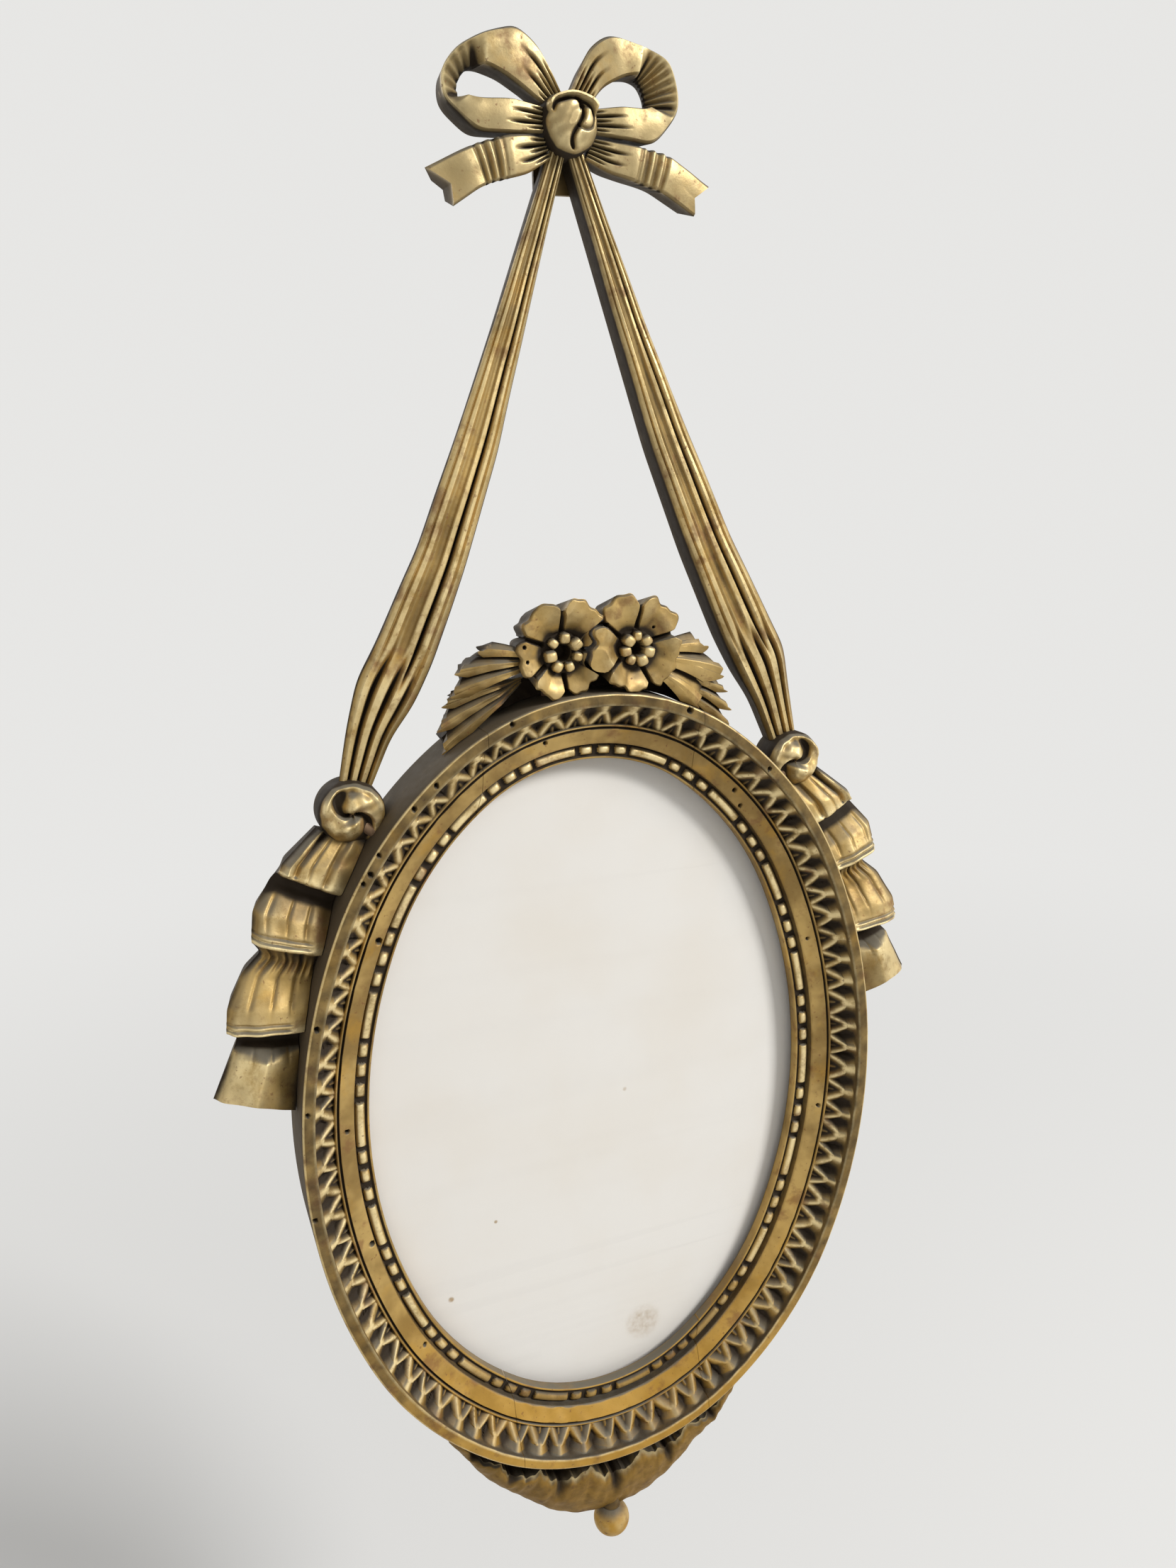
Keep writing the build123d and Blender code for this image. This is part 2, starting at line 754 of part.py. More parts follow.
def petals(side, growth):
    """The five petals of a flower, each as tall as the flower, grown all round by a gap."""
    centre_x = side * flower_x
    reach = flower_radius - petal_radius
    places = [
        front_place(
            centre_x + reach * cos(radians(angle)), ornament_back, flower_z + reach * sin(radians(angle))
        )
        for angle in petal_angles[side]
    ]
    with BuildPart() as flower:
        with Locations(*places):
            Cylinder(petal_radius + growth, flower_depth, align=(Align.CENTER, Align.CENTER, Align.MIN))
        with Locations(front_place(centre_x, ornament_back, flower_z)):
            Cylinder(petal_radius + growth, flower_depth, align=(Align.CENTER, Align.CENTER, Align.MIN))
    return flower.part


def flower_front(side):
    """Hollows the front of a flower towards its eye and sets the ring of stamens in it."""
    centre_x = side * flower_x
    floor = ornament_back + flower_depth - flower_dish
    stamen_ring = petal_radius - 2 * stamen_radius
    with Locations(front_place(centre_x, floor, flower_z)):
        Cone(
            stamen_ring,
            flower_radius + petal_radius,
            flower_dish,
            align=(Align.CENTER, Align.CENTER, Align.MIN),
            mode=Mode.SUBTRACT,
        )
    with BuildSketch(front_plane(floor)) as stamens:
        with Locations((centre_x, flower_z)):
            with PolarLocations(stamen_ring, stamen_count):
                RegularPolygon(stamen_radius, stamen_sides)
    extrude(stamens.sketch, amount=stamen_height)
    with Locations(front_place(centre_x, floor, flower_z)):
        Cylinder(flower_eye_radius, 2 * stamen_height, mode=Mode.SUBTRACT)


def crest_leaf_stations(side):
    """Stations of a crest leaf, from beside the flower's peg outward along the rail."""
    stations = []
    span = crest_leaf_end_angle - crest_leaf_start_angle
    for inner_share, outer_share, width_share, height_shares in crest_leaf_shares:
        inner_angle = 90 - crest_leaf_start_angle - inner_share * span
        outer_angle = 90 - crest_leaf_start_angle - outer_share * span
        inner_x, inner_z = oval_point(inner_angle, seat_offset)
        outer_x, outer_z = oval_point(outer_angle, seat_offset + width_share * crest_leaf_height)
        stations.append(((side * inner_x, inner_z), (side * outer_x, outer_z), height_shares))
    return stations


right_petals = petals(1, 0)
left_petals = petals(-1, 0)
petal_seats = {side: petals(side, seat_gap) for side in side_names}

with BuildPart() as flower_right:
    add(right_petals)
    flower_front(1)
    rail_seat(rail_back + rail_depth)
    drill(crest_peg_places, dowel_length)
finish(flower_right, "flower_right")

with BuildPart() as flower_left:
    add(left_petals)
    flower_front(-1)
    add(petal_seats[1], mode=Mode.SUBTRACT)
    rail_seat(rail_back + rail_depth)
    drill(crest_peg_places, dowel_length)
finish(flower_left, "flower_left")

for side, side_name in side_names.items():
    with BuildPart() as crest_leaf:
        strip(crest_leaf_stations(side), ornament_back, crest_leaf_depth)
        add(petal_seats[side], mode=Mode.SUBTRACT)
        rail_seat(rail_back + rail_depth)
    finish(crest_leaf, f"crest_leaf_{side_name}")


# Pendant: leaf lobes under the rail, with a ball pegged into their foot
lobe_shares = (0.78, 1.00, 0.74, 0.50)
cleft_shares = (0.30, 0.72, 0.62, 0.44)
foot_shares = (0.30, 0.74, 0.82, 0.72)
pendant_shares = (
    (7.0, 0.95),
    (13.7, 0.80),
    (20.5, 0.68),
    (27.0, 0.50),
    (33.0, 0.38),
    (37.5, 0.20),
    (40.0, 0.13),
    (42.0, 0.05),
)


def pendant_stations():
    """Stations of the pendant from left to right: lobes and clefts take turns about the foot."""
    half = [
        (turn, width_share, cleft_shares if index % 2 else lobe_shares)
        for index, (turn, width_share) in enumerate(pendant_shares)
    ]
    left = [(-turn, width, heights) for turn, width, heights in reversed(half)]
    stations = []
    for turn, width_share, height_shares in left + [(0, 1, foot_shares)] + half:
        inner = oval_point(270 + turn, seat_offset)
        outer = oval_point(270 + turn, seat_offset + width_share * pendant_drop)
        stations.append((inner, outer, height_shares))
    return stations


pendant_foot = -(rail_top + seat_gap + pendant_drop)
ball_z = pendant_foot - seat_gap - ball_radius
ball_middle = ornament_back + ball_depth

with BuildPart() as pendant_leaf:
    strip(pendant_stations(), ornament_back, pendant_depth)
    rail_seat(rail_back + rail_depth)
    drill(pendant_peg_places, dowel_length)
    with Locations(Plane(at(0, ball_middle, pendant_foot), z_dir=(0, 0, 1)).location):
        Cylinder(
            ball_neck_radius + dowel_clearance,
            ball_neck_length + dowel_clearance,
            align=(Align.CENTER, Align.CENTER, Align.MIN),
            mode=Mode.SUBTRACT,
        )
finish(pendant_leaf, "pendant_leaf")

with BuildPart() as pendant_ball:
    with Locations(at(0, ball_middle, ball_z)):
        Sphere(ball_radius)
        Cylinder(
            ball_neck_radius,
            ball_radius + seat_gap + ball_neck_length,
            align=(Align.CENTER, Align.CENTER, Align.MIN),
        )
finish(pendant_ball, "pendant_ball")


# Hanging plate with its knuckle, its screws and the ring that turns in the knuckle
plate_depth = ornament_back - plate_thickness
ring_half_width = ring_inner_width / 2 + ring_wire_radius
ring_arch_z = ring_axis_z + ring_inner_rise + ring_wire_radius - ring_half_width

with BuildPart() as hanger_plate:
    with BuildSketch(front_plane(plate_depth)):
        with Locations((0, plate_z)):
            RectangleRounded(plate_width, plate_height, plate_corner)
            with Locations(*[(x, 0) for x in plate_screw_xs]):
                Circle(screw_radius + running_clearance, mode=Mode.SUBTRACT)
    extrude(amount=plate_thickness)
    with Locations(Plane(at(0, ring_axis_depth, ring_axis_z), z_dir=(1, 0, 0)).location):
        Cylinder(knuckle_radius, knuckle_width)
        Cylinder(ring_wire_radius + running_clearance, plate_width, mode=Mode.SUBTRACT)
finish(hanger_plate, "hanger_plate")

with BuildPart() as hanger_screws:
    screws([front_place(x, plate_depth, plate_z) for x in plate_screw_xs], plate_thickness)
finish(hanger_screws, "hanger_screws")

with BuildPart() as hanger_ring:
    with BuildSketch(front_plane(ring_axis_depth - ring_wire_radius)):
        for reach, sign in ((ring_wire_radius, Mode.ADD), (-ring_wire_radius, Mode.SUBTRACT)):
            with Locations((0, ring_arch_z)):
                Circle(ring_half_width + reach, mode=sign)
            with Locations((0, (ring_axis_z + ring_arch_z) / 2)):
                Rectangle(2 * (ring_half_width + reach), ring_arch_z - ring_axis_z, mode=sign)
    extrude(amount=2 * ring_wire_radius)
    with Locations(Plane(at(0, ring_axis_depth, ring_axis_z), z_dir=(1, 0, 0)).location):
        Cylinder(ring_wire_radius, 2 * (ring_half_width + ring_wire_radius))
finish(hanger_ring, "hanger_ring")
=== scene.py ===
from math import cos, degrees, pi, radians, sin, sqrt

import bmesh
import bpy
import numpy as np
from mathutils import Matrix, Vector


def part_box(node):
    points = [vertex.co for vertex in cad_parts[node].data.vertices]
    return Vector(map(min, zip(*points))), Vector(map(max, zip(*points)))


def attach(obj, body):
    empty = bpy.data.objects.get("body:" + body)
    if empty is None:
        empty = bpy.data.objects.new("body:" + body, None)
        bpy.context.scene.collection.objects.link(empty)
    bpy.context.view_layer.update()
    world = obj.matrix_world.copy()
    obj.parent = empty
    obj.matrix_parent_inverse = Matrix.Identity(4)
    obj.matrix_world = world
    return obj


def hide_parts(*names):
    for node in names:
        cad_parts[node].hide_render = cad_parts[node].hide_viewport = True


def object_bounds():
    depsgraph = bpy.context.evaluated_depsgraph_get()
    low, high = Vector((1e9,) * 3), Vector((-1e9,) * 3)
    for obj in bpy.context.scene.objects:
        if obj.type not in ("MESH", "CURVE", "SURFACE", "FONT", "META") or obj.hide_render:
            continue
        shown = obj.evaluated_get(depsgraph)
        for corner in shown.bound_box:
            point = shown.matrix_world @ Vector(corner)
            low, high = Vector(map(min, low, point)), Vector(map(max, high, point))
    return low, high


# Carved and gilded oval picture frame with a ribbon bow: its carving and its finish.
# Carving is worked out in millimetres: x to the right and z up from the oval's centre, and a depth
# counted out from the wall. place() turns that into the frame's metres. Ornaments that come in pairs
# are given for the right-hand side, and side, -1 or 1, mirrors them.

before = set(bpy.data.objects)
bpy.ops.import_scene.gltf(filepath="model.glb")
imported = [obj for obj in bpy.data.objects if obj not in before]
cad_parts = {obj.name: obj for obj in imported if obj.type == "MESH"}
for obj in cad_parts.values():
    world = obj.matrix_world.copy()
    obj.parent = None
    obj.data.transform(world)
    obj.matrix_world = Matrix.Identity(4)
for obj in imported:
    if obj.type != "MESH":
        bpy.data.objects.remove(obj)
cad_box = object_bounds()

MM = 0.001
glass_low, glass_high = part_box("glass")
CENTRE_Z = (glass_low.z + glass_high.z) / 2
WALL_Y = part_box("wall_pads")[1].y
CARD_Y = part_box("picture_card")[0].y
SIDES = ((-1, "left"), (1, "right"))

# Oval
HALF_WIDTH = 60.0
HALF_HEIGHT = 90.0
SIDE_TURN = radians(23.2)
END_TURN = radians(53.1)
SHOULDER_SHARE = 1.03

# Rail: offsets count out from the sight line, heights from the rail's back
RAIL_BACK = 2.5
RAIL_WIDTH = 17.5
RABBET_WIDTH = 5.0
RABBET_DEPTH = 7.1
JOINT_X = 27.5
JOINT_CRACK = 0.06
RAIL_STEP = 0.28
PATTERN_OFFSET = 12.0
LEAF_COUNT = 82
LEAF_PHASE = 0.4
LEAF_START = 9.15
LEAF_END = 14.35
LEAF_LOW = 13.15
LEAF_HIGH = 18.0
LEAF_SPLIT = 0.60
BEAD_PERIODS = 18
BEAD_PHASE = 0.46
BEAD_OFFSET = 2.35
BEAD_RADIUS = 1.25
CHANNEL_FLOOR = 9.35
RIM_START = 14.45
RIM_LOW = 19.0
FRONT_LOW = 9.0
CHANNEL_HIGH = 9.5
OUTER_WALL_HIGH = 18.9
LIP_HIGH = RABBET_DEPTH + 0.1

# Zones across the rail's front, as offsets
BRINK = (0.5, 0.9)
CHANNEL = (0.9, 3.8)
PLAIN = (4.2, 7.9)
GROOVE = (7.95, 8.5)
LEAVES = (LEAF_START - 0.01, LEAF_END + 0.01)
RIM = (RIM_START, 17.0)
STEPS = ((3.75, 4.05), (14.38, RIM_START))
RIM_CORNERS = ((RIM_START, 14.8), (17.1, 17.46))

# Ornaments
ORNAMENT_BACK = 5.0
SEAT_GAP = 0.25
BOW_Z = 231.0
BOW_DEPTH = 10.5
KNOT_RADIUS = 5.7
KNOT_DEPTH = 12.5
SIDE_KNOT_X = 58.1
SIDE_KNOT_Z = 83.3
SIDE_KNOT_RADIUS = 7.7
SIDE_KNOT_DEPTH = 12.5
TAIL_DEPTH = 12.5
FLOWER_SPOTS = {-1: (-7.8, 117.6), 1: (10.6, 117.3)}
FLOWER_RADIUS = 11.4
FLOWER_DEPTH = 17.5
PENDANT_DEPTH = 14.0
PENDANT_DROP = 21.5
BALL_RADIUS = 5.1
BALL_DEPTH = 8.6
BALL_SPAN = 0.86
NECK_START = 0.985
NECK_RADIUS = 2.2
NECK_RISE = 3.0
NECK_SHADE_LOW = 4.4

# The oval as eight tangent arcs
shoulder_radius = SHOULDER_SHARE * sqrt(HALF_WIDTH * HALF_HEIGHT)
width_left = HALF_WIDTH - shoulder_radius * (cos(SIDE_TURN) - cos(END_TURN))
height_left = HALF_HEIGHT - shoulder_radius * (sin(END_TURN) - sin(SIDE_TURN))
determinant = (1 - cos(SIDE_TURN)) * (1 - sin(END_TURN)) - cos(END_TURN) * sin(SIDE_TURN)
side_radius = (width_left * (1 - sin(END_TURN)) - height_left * cos(END_TURN)) / determinant
end_radius = (height_left * (1 - cos(SIDE_TURN)) - width_left * sin(SIDE_TURN)) / determinant
side_x = HALF_WIDTH - side_radius
end_z = HALF_HEIGHT - end_radius
shoulder_x = side_x + (side_radius - shoulder_radius) * cos(SIDE_TURN)
shoulder_z = (side_radius - shoulder_radius) * sin(SIDE_TURN)
side_deg = degrees(SIDE_TURN)
end_deg = degrees(END_TURN)

# Arcs clockwise from the top: turn where the arc starts, centre x, centre z, radius of the sight line
ARCS = np.array([
    (0, 0, end_z, end_radius),
    (90 - end_deg, shoulder_x, shoulder_z, shoulder_radius),
    (90 - side_deg, side_x, 0, side_radius),
    (90 + side_deg, shoulder_x, -shoulder_z, shoulder_radius),
    (90 + end_deg, 0, -end_z, end_radius),
    (270 - end_deg, -shoulder_x, -shoulder_z, shoulder_radius),
    (270 - side_deg, -side_x, 0, side_radius),
    (270 + side_deg, -shoulder_x, shoulder_z, shoulder_radius),
    (270 + end_deg, 0, end_z, end_radius),
    (360, 0, end_z, end_radius),
])
ARC_TURNS = ARCS[:, 0]
ARC_LENGTHS = (ARCS[:-1, 3] + PATTERN_OFFSET) * np.radians(np.diff(ARC_TURNS))
ARC_RUNS = np.concatenate([[0], np.cumsum(ARC_LENGTHS)])
OVAL_LENGTH = ARC_RUNS[-1]


def oval(turn, offset):
    """Front-view x and z at a turn, clockwise from the top in degrees, and an offset outward."""
    turn = np.asarray(turn, float) % 360
    index = np.clip(np.searchsorted(ARC_TURNS, turn, side="right") - 1, 0, len(ARCS) - 2)
    arc = ARCS[index]
    reach = arc[..., 3] + offset
    angle = np.radians(turn)
    return arc[..., 1] + reach * np.sin(angle), arc[..., 2] + reach * np.cos(angle)


def run_at(turn):
    """Length along the pattern's line from the top, clockwise, at a turn."""
    whole = np.floor(np.asarray(turn) / 360)
    return np.interp(turn - 360 * whole, ARC_TURNS, ARC_RUNS) + whole * OVAL_LENGTH


def turn_at(run):
    """Turn at a length along the pattern's line."""
    whole = np.floor(np.asarray(run) / OVAL_LENGTH)
    return np.interp(run - whole * OVAL_LENGTH, ARC_RUNS, ARC_TURNS) + 360 * whole


# Number tools
def smoothstep(low, high, x):
    """0 below low, 1 above high, smooth between."""
    t = np.clip((x - low) / (high - low), 0, 1)
    return t * t * (3 - 2 * t)


def fade(low, high, x):
    """1 below low, 0 above high, smooth between."""
    return 1 - smoothstep(low, high, x)


def bump(x, centre, width):
    """Smooth hill of height 1."""
    return np.exp(-(((x - centre) / width) ** 2))


def rounded(distance, half):
    """Height of a round ridge: 1 on its crest, 0 at its foot."""
    return np.sqrt(np.clip(1 - (distance / half) ** 2, 0, 1))


def tent(distance, half):
    """Height of a sharp ridge: 1 on its crest, 0 at its foot."""
    return np.clip(1 - np.abs(distance) / half, 0, 1)


def within(value, zone):
    """Mask of the values between two limits."""
    return (value > zone[0]) & (value < zone[1])


def ripple(x, z, length, seed):
    """Smooth irregular waves of about a wavelength, between about -1 and 1."""
    rng = np.random.default_rng(seed)
    total = np.zeros(np.broadcast(x, z).shape)
    waves = 6
    for _ in range(waves):
        angle = rng.uniform(0, 2 * pi)
        scale = 2 * pi / (length * rng.uniform(0.7, 1.5))
        total += np.sin(scale * (cos(angle) * x + sin(angle) * z) + rng.uniform(0, 2 * pi))
    return total / sqrt(waves)


def blur(field, radius, axis, wrap):
    """Three box blurs along one axis, close to a Gaussian."""
    reach = max(int(round(radius)), 1)
    for _ in range(3):
        pad = [(0, 0), (0, 0)]
        pad[axis] = (reach + 1, reach)
        sums = np.cumsum(np.pad(field, pad, mode="wrap" if wrap else "edge"), axis=axis)
        size = field.shape[axis]
        high = np.take(sums, np.arange(2 * reach + 1, 2 * reach + 1 + size), axis=axis)
        low = np.take(sums, np.arange(0, size), axis=axis)
        field = (high - low) / (2 * reach + 1)
    return field


# Materials
GOLD_DEEP = (0.28, 0.178, 0.058)
GOLD_MID = (0.54, 0.365, 0.128)
GOLD_PALE = (0.37, 0.29, 0.15)
GOLD_HIGHLIGHT = (0.90, 0.73, 0.39)
GOLD_METALLIC = 0.55
OCHRE_AND_WARM_REFLECTION = (0.57, 0.305, 0.036)
BOLE = (0.20, 0.085, 0.036)
GRIME_AND_SHADE = (0.032, 0.022, 0.013)
DUST = (0.165, 0.145, 0.108)
WALL = (0.075, 0.054, 0.033)
WALL_LIGHT = (0.135, 0.102, 0.062)
WOOD_DARK = (0.125, 0.080, 0.046)
WOOD_LIGHT = (0.245, 0.165, 0.098)
HOLE = (0.006, 0.004, 0.003)
CARD_PALE = (0.81, 0.78, 0.735)
CARD_BLOTCH = (0.79, 0.745, 0.68)
FOX = (0.42, 0.29, 0.15)
PAD_DARK = (0.13, 0.13, 0.125)
PAD_LIGHT = (0.20, 0.20, 0.19)
GLASS_TINT = (0.90, 0.92, 0.90)
GRAIN_STRETCH = (9, 9, 0.7)
BUMP_STRENGTH = 0.3
# Sockets of the mix node that belong to colours
MIX_FACTOR, MIX_A, MIX_B, MIX_RESULT = 0, 6, 7, 2


class Graph:
    """Nodes of a material or of the world, with the few kinds that the finishes need."""

    def __init__(self, tree):
        self.nodes, self.links = tree.nodes, tree.links

    def feed(self, socket, value):
        """Gives a socket a number, a vector, a colour or another node's output."""
        if isinstance(value, bpy.types.NodeSocket):
            self.links.new(value, socket)
        else:
            socket.default_value = (*value, 1) if socket.type == "RGBA" else value

    def add(self, kind, output, inputs, **settings):
        """One output of a new node with the given inputs and settings."""
        node = self.nodes.new(f"ShaderNode{kind}")
        for name, value in settings.items():
            setattr(node, name, value)
        for name, value in inputs.items():
            self.feed(node.inputs[name], value)
        return node.outputs[output]

    def place(self):
        """Place in the frame's metres."""
        return self.add("TexCoord", "Object", {})

    def split(self, kind, value):
        """The three parts of a colour or a vector."""
        node = self.nodes.new(f"ShaderNodeSeparate{kind}")
        self.links.new(value, node.inputs[0])
        return list(node.outputs)

    def away(self, vector, spot):
        """Distance from a spot."""
        return self.add("VectorMath", "Value", {0: vector, 1: spot}, operation="DISTANCE")

    def noise(self, vector, scale, detail=4.0, roughness=0.6):
        """Noise over the frame's metres."""
        inputs = {"Vector": vector, "Scale": scale, "Detail": detail, "Roughness": roughness}
        return self.add("TexNoise", "Fac", inputs)

    def grain(self, vector):
        """Wood grain that runs upright."""
        stretched = self.add("Mapping", "Vector", {"Vector": vector, "Scale": GRAIN_STRETCH})
        return self.noise(stretched, 60, 6.0, 0.65)

    def ramp(self, value, low, high):
        """Value mapped so that low gives 0 and high gives 1."""
        inputs = {"Value": value, "From Min": low, "From Max": high}
        return self.add("MapRange", "Result", inputs, interpolation_type="SMOOTHSTEP")

    def mix(self, factor, a, b):
        """Colour mix."""
        inputs = {MIX_FACTOR: factor, MIX_A: a, MIX_B: b}
        return self.add("Mix", MIX_RESULT, inputs, data_type="RGBA")

    def math(self, operation, a, b):
        """Arithmetic of two outputs or numbers."""
        return self.add("Math", 0, {0: a, 1: b}, operation=operation)

    def times(self, a, b):
        return self.math("MULTIPLY", a, b)

    def plus(self, a, b):
        return self.math("ADD", a, b)

    def most(self, first, *others):
        """The largest of several outputs."""
        for other in others:
            first = self.math("MAXIMUM", first, other)
        return first

    def less(self, value):
        """What a value leaves of 1."""
        return self.math("SUBTRACT", 1.0, value)

    def bumps(self, height, distance):
        """Small bumps on the surface."""
        inputs = {"Height": height, "Strength": BUMP_STRENGTH, "Distance": distance}
        self.feed(self.shader.inputs["Normal"], self.add("Bump", "Normal", inputs))

    def finish(self, **looks):
        """Gives the shader its looks, named as its inputs are, and gives back the material."""
        for look, value in looks.items():
            self.feed(self.shader.inputs[look.replace("_", " ")], value)
        return self.material


def new_material(name):
    """Graph of a new material."""
    material = bpy.data.materials.new(name)
    material.use_nodes = True
    graph = Graph(material.node_tree)
    graph.material, graph.shader = material, graph.nodes["Principled BSDF"]
    return graph


def gold_leaf(graph, place, broad, streak, edge):
    """Colour of the leaf: dull towards the bow, ochre towards the pendant as a painted warm reflection, and
    bright on raised edges, partly wear and partly a painted highlight.
    """
    height = graph.split("XYZ", place)[2]
    gold = graph.mix(graph.ramp(broad, 0.36, 0.64), GOLD_DEEP, GOLD_MID)
    high = graph.ramp(height, CENTRE_Z + 0.13, CENTRE_Z + 0.24)
    gold = graph.mix(graph.times(high, 0.75), gold, GOLD_PALE)
    # Ochre towards the bottom: a painted warm reflection.
    low = graph.ramp(height, CENTRE_Z - 0.02, CENTRE_Z - 0.13)
    gold = graph.mix(graph.times(low, 0.80), gold, OCHRE_AND_WARM_REFLECTION)
    patches = graph.ramp(graph.noise(place, 90), 0.52, 0.72)
    gold = graph.mix(graph.times(patches, 0.4), gold, OCHRE_AND_WARM_REFLECTION)
    # Raised edges: partly wear, partly a painted highlight.
    return graph.mix(graph.times(edge, graph.ramp(streak, 0.28, 0.56)), gold, GOLD_HIGHLIGHT)


def gilding():
    """Worn gold leaf: red bole where it is rubbed, dirt and painted shade in hollows, painted highlights on
    raised edges, dust on top, bare wood behind.
    """
    graph = new_material("worn_gilding")
    place = graph.place()
    relief = graph.nodes.new("ShaderNodeAttribute")
    relief.attribute_name = "relief"
    cavity, edge, wall = graph.split("Color", relief.outputs["Color"])
    hole = relief.outputs["Alpha"]
    normal = graph.add("NewGeometry", "Normal", {})
    _, facing_y, facing_z = graph.split("XYZ", normal)
    broad, fine = graph.noise(place, 55), graph.noise(place, 420)
    streak = graph.noise(place, 160, 6.0, 0.7)

    gold = gold_leaf(graph, place, broad, streak, edge)
    specks = graph.ramp(graph.noise(place, 800, 2.0), 0.64, 0.74)
    patches = graph.ramp(graph.noise(place, 130, 5.0), 0.56, 0.70)
    rubbed = graph.times(graph.most(graph.ramp(streak, 0.56, 0.74), specks, patches), 0.6)
    gold = graph.mix(rubbed, gold, BOLE)
    # Sides: dark brown in streaks, and kept clear of dust so that they stay dark; partly painted shade.
    brown = graph.times(wall, graph.ramp(streak, 0.76, 0.60))
    gold = graph.mix(brown, gold, graph.mix(broad, WALL, WALL_LIGHT))
    dusty = graph.times(graph.ramp(facing_z, 0.30, 0.85), graph.ramp(broad, 0.16, 0.52))
    dusty = graph.times(dusty, graph.less(graph.times(wall, 0.7)))
    gold = graph.mix(dusty, gold, DUST)
    # Dirt and painted shade in hollows, creases and recesses.
    hollow_grime_and_shade = graph.ramp(graph.plus(cavity, graph.times(fine, 0.22)), 0.22, 0.85)
    gold = graph.mix(hole, graph.mix(hollow_grime_and_shade, gold, GRIME_AND_SHADE), HOLE)
    behind = graph.ramp(facing_y, 0.55, 0.90)
    wood = graph.mix(graph.ramp(graph.grain(place), 0.30, 0.70), WOOD_DARK, WOOD_LIGHT)
    gold = graph.mix(behind, gold, wood)

    bare = graph.most(hollow_grime_and_shade, graph.times(dusty, 0.85), graph.times(rubbed, 0.8), hole, brown, behind)
    metallic = graph.times(graph.less(bare), GOLD_METALLIC)
    rough = graph.plus(graph.plus(graph.times(bare, 0.30), graph.times(fine, 0.24)), 0.33)
    graph.bumps(streak, 0.0005)
    return graph.finish(Base_Color=gold, Metallic=metallic, Roughness=rough, Specular_IOR_Level=0.2)


# Foxing on the card: place from the oval's centre, radius and strength
FOXING = (
    (-28.1, -34.2, 0.5, 0.8), (-41.5, -54.1, 0.8, 0.8), (9.8, -3.6, 0.6, 0.25), (13.7, -77.8, 5.0, 0.22),
)


def paper():
    """Off-white card with faint blotches and a few foxed spots."""
    graph = new_material("aged_card")
    place = graph.place()
    grain = graph.noise(place, 700, 2.0)
    colour = graph.mix(graph.ramp(graph.noise(place, 22, 3.0), 0.35, 0.75), CARD_PALE, CARD_BLOTCH)
    for x, z, radius, strength in FOXING:
        away = graph.away(place, (x * MM, CARD_Y, CENTRE_Z + z * MM))
        spot = graph.ramp(away, 1.3 * radius * MM, 0.5 * radius * MM)
        colour = graph.mix(graph.times(spot, graph.plus(grain, strength - 0.4)), colour, FOX)
    return graph.finish(Base_Color=colour, Roughness=0.85)


def pane():
    """Clear old glass, faintly smeared."""
    graph = new_material("clear_glass")
    smear = graph.times(graph.ramp(graph.noise(graph.place(), 30), 0.4, 0.8), 0.10)
    return graph.finish(Base_Color=GLASS_TINT, Alpha=0.07, Roughness=graph.plus(smear, 0.03))


def timber(name, dark, light):
    """Bare aged wood with grain and stains."""
    graph = new_material(name)
    place = graph.place()
    grain = graph.grain(place)
    colour = graph.mix(graph.ramp(grain, 0.30, 0.70), dark, light)
    stain = graph.ramp(graph.noise(place, 25), 0.55, 0.85)
    colour = graph.mix(stain, colour, tuple(0.6 * c for c in dark))
    rough = graph.plus(graph.times(grain, 0.25), 0.6)
    graph.bumps(grain, 0.0003)
    return graph.finish(Base_Color=colour, Roughness=rough)


def metal(name, clean, tarnish, rough):
    """Old hardware: metal with tarnish in patches."""
    graph = new_material(name)
    spread = graph.ramp(graph.noise(graph.place(), 260, 5.0), 0.38, 0.66)
    colour = graph.mix(spread, clean, tarnish)
    metallic = graph.less(graph.times(spread, 0.35))
    rough = graph.plus(graph.times(spread, 0.25), rough)
    return graph.finish(Base_Color=colour, Metallic=metallic, Roughness=rough)


def rubber():
    """Grey pads."""
    graph = new_material("grey_pad")
    grain = graph.noise(graph.place(), 900)
    return graph.finish(Base_Color=graph.mix(grain, PAD_DARK, PAD_LIGHT), Roughness=0.8)


GILDING = gilding()
BRASS = metal("tarnished_brass", (0.22, 0.15, 0.06), (0.05, 0.035, 0.020), 0.40)
STEEL = metal("dull_steel", (0.36, 0.34, 0.32), (0.10, 0.07, 0.05), 0.38)
BOARD = timber("board_wood", (0.145, 0.085, 0.042), (0.30, 0.19, 0.10))
PEGS = timber("peg_wood", (0.22, 0.13, 0.07), (0.36, 0.23, 0.13))

# Finishes of the CAD nodes that stay
FINISHES = {
    "glass": pane(), "picture_card": paper(), "backing_board": BOARD, "wall_pads": rubber(),
    "rail_dowels": PEGS, "ornament_dowels": PEGS, "hanger_plate": BRASS, "hanger_ring": BRASS,
    "hanger_screws": STEEL, "turn_button_screws": STEEL,
    **{f"turn_button_{level}_{name}": BRASS for level in ("upper", "lower") for _, name in SIDES},
}
for node_name, finish in FINISHES.items():
    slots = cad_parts[node_name].data.materials
    slots.clear()
    slots.append(finish)
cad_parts["glass"].visible_shadow = False


# Mesh tools: a carved front is a grid of x, z and depth, with four shades at each point
# The four shades: painted shade with dirt in hollows, painted highlight on raised edges, wall, worm hole.
CAVITY, HIGHLIGHT = 0, 1
WALL_ROWS = 5
WALL_FOOT_SHADE = 0.35
WALL_TOP = 0.55
MERGE_DISTANCE = 0.01 * MM
LEAST_STEP = 0.05


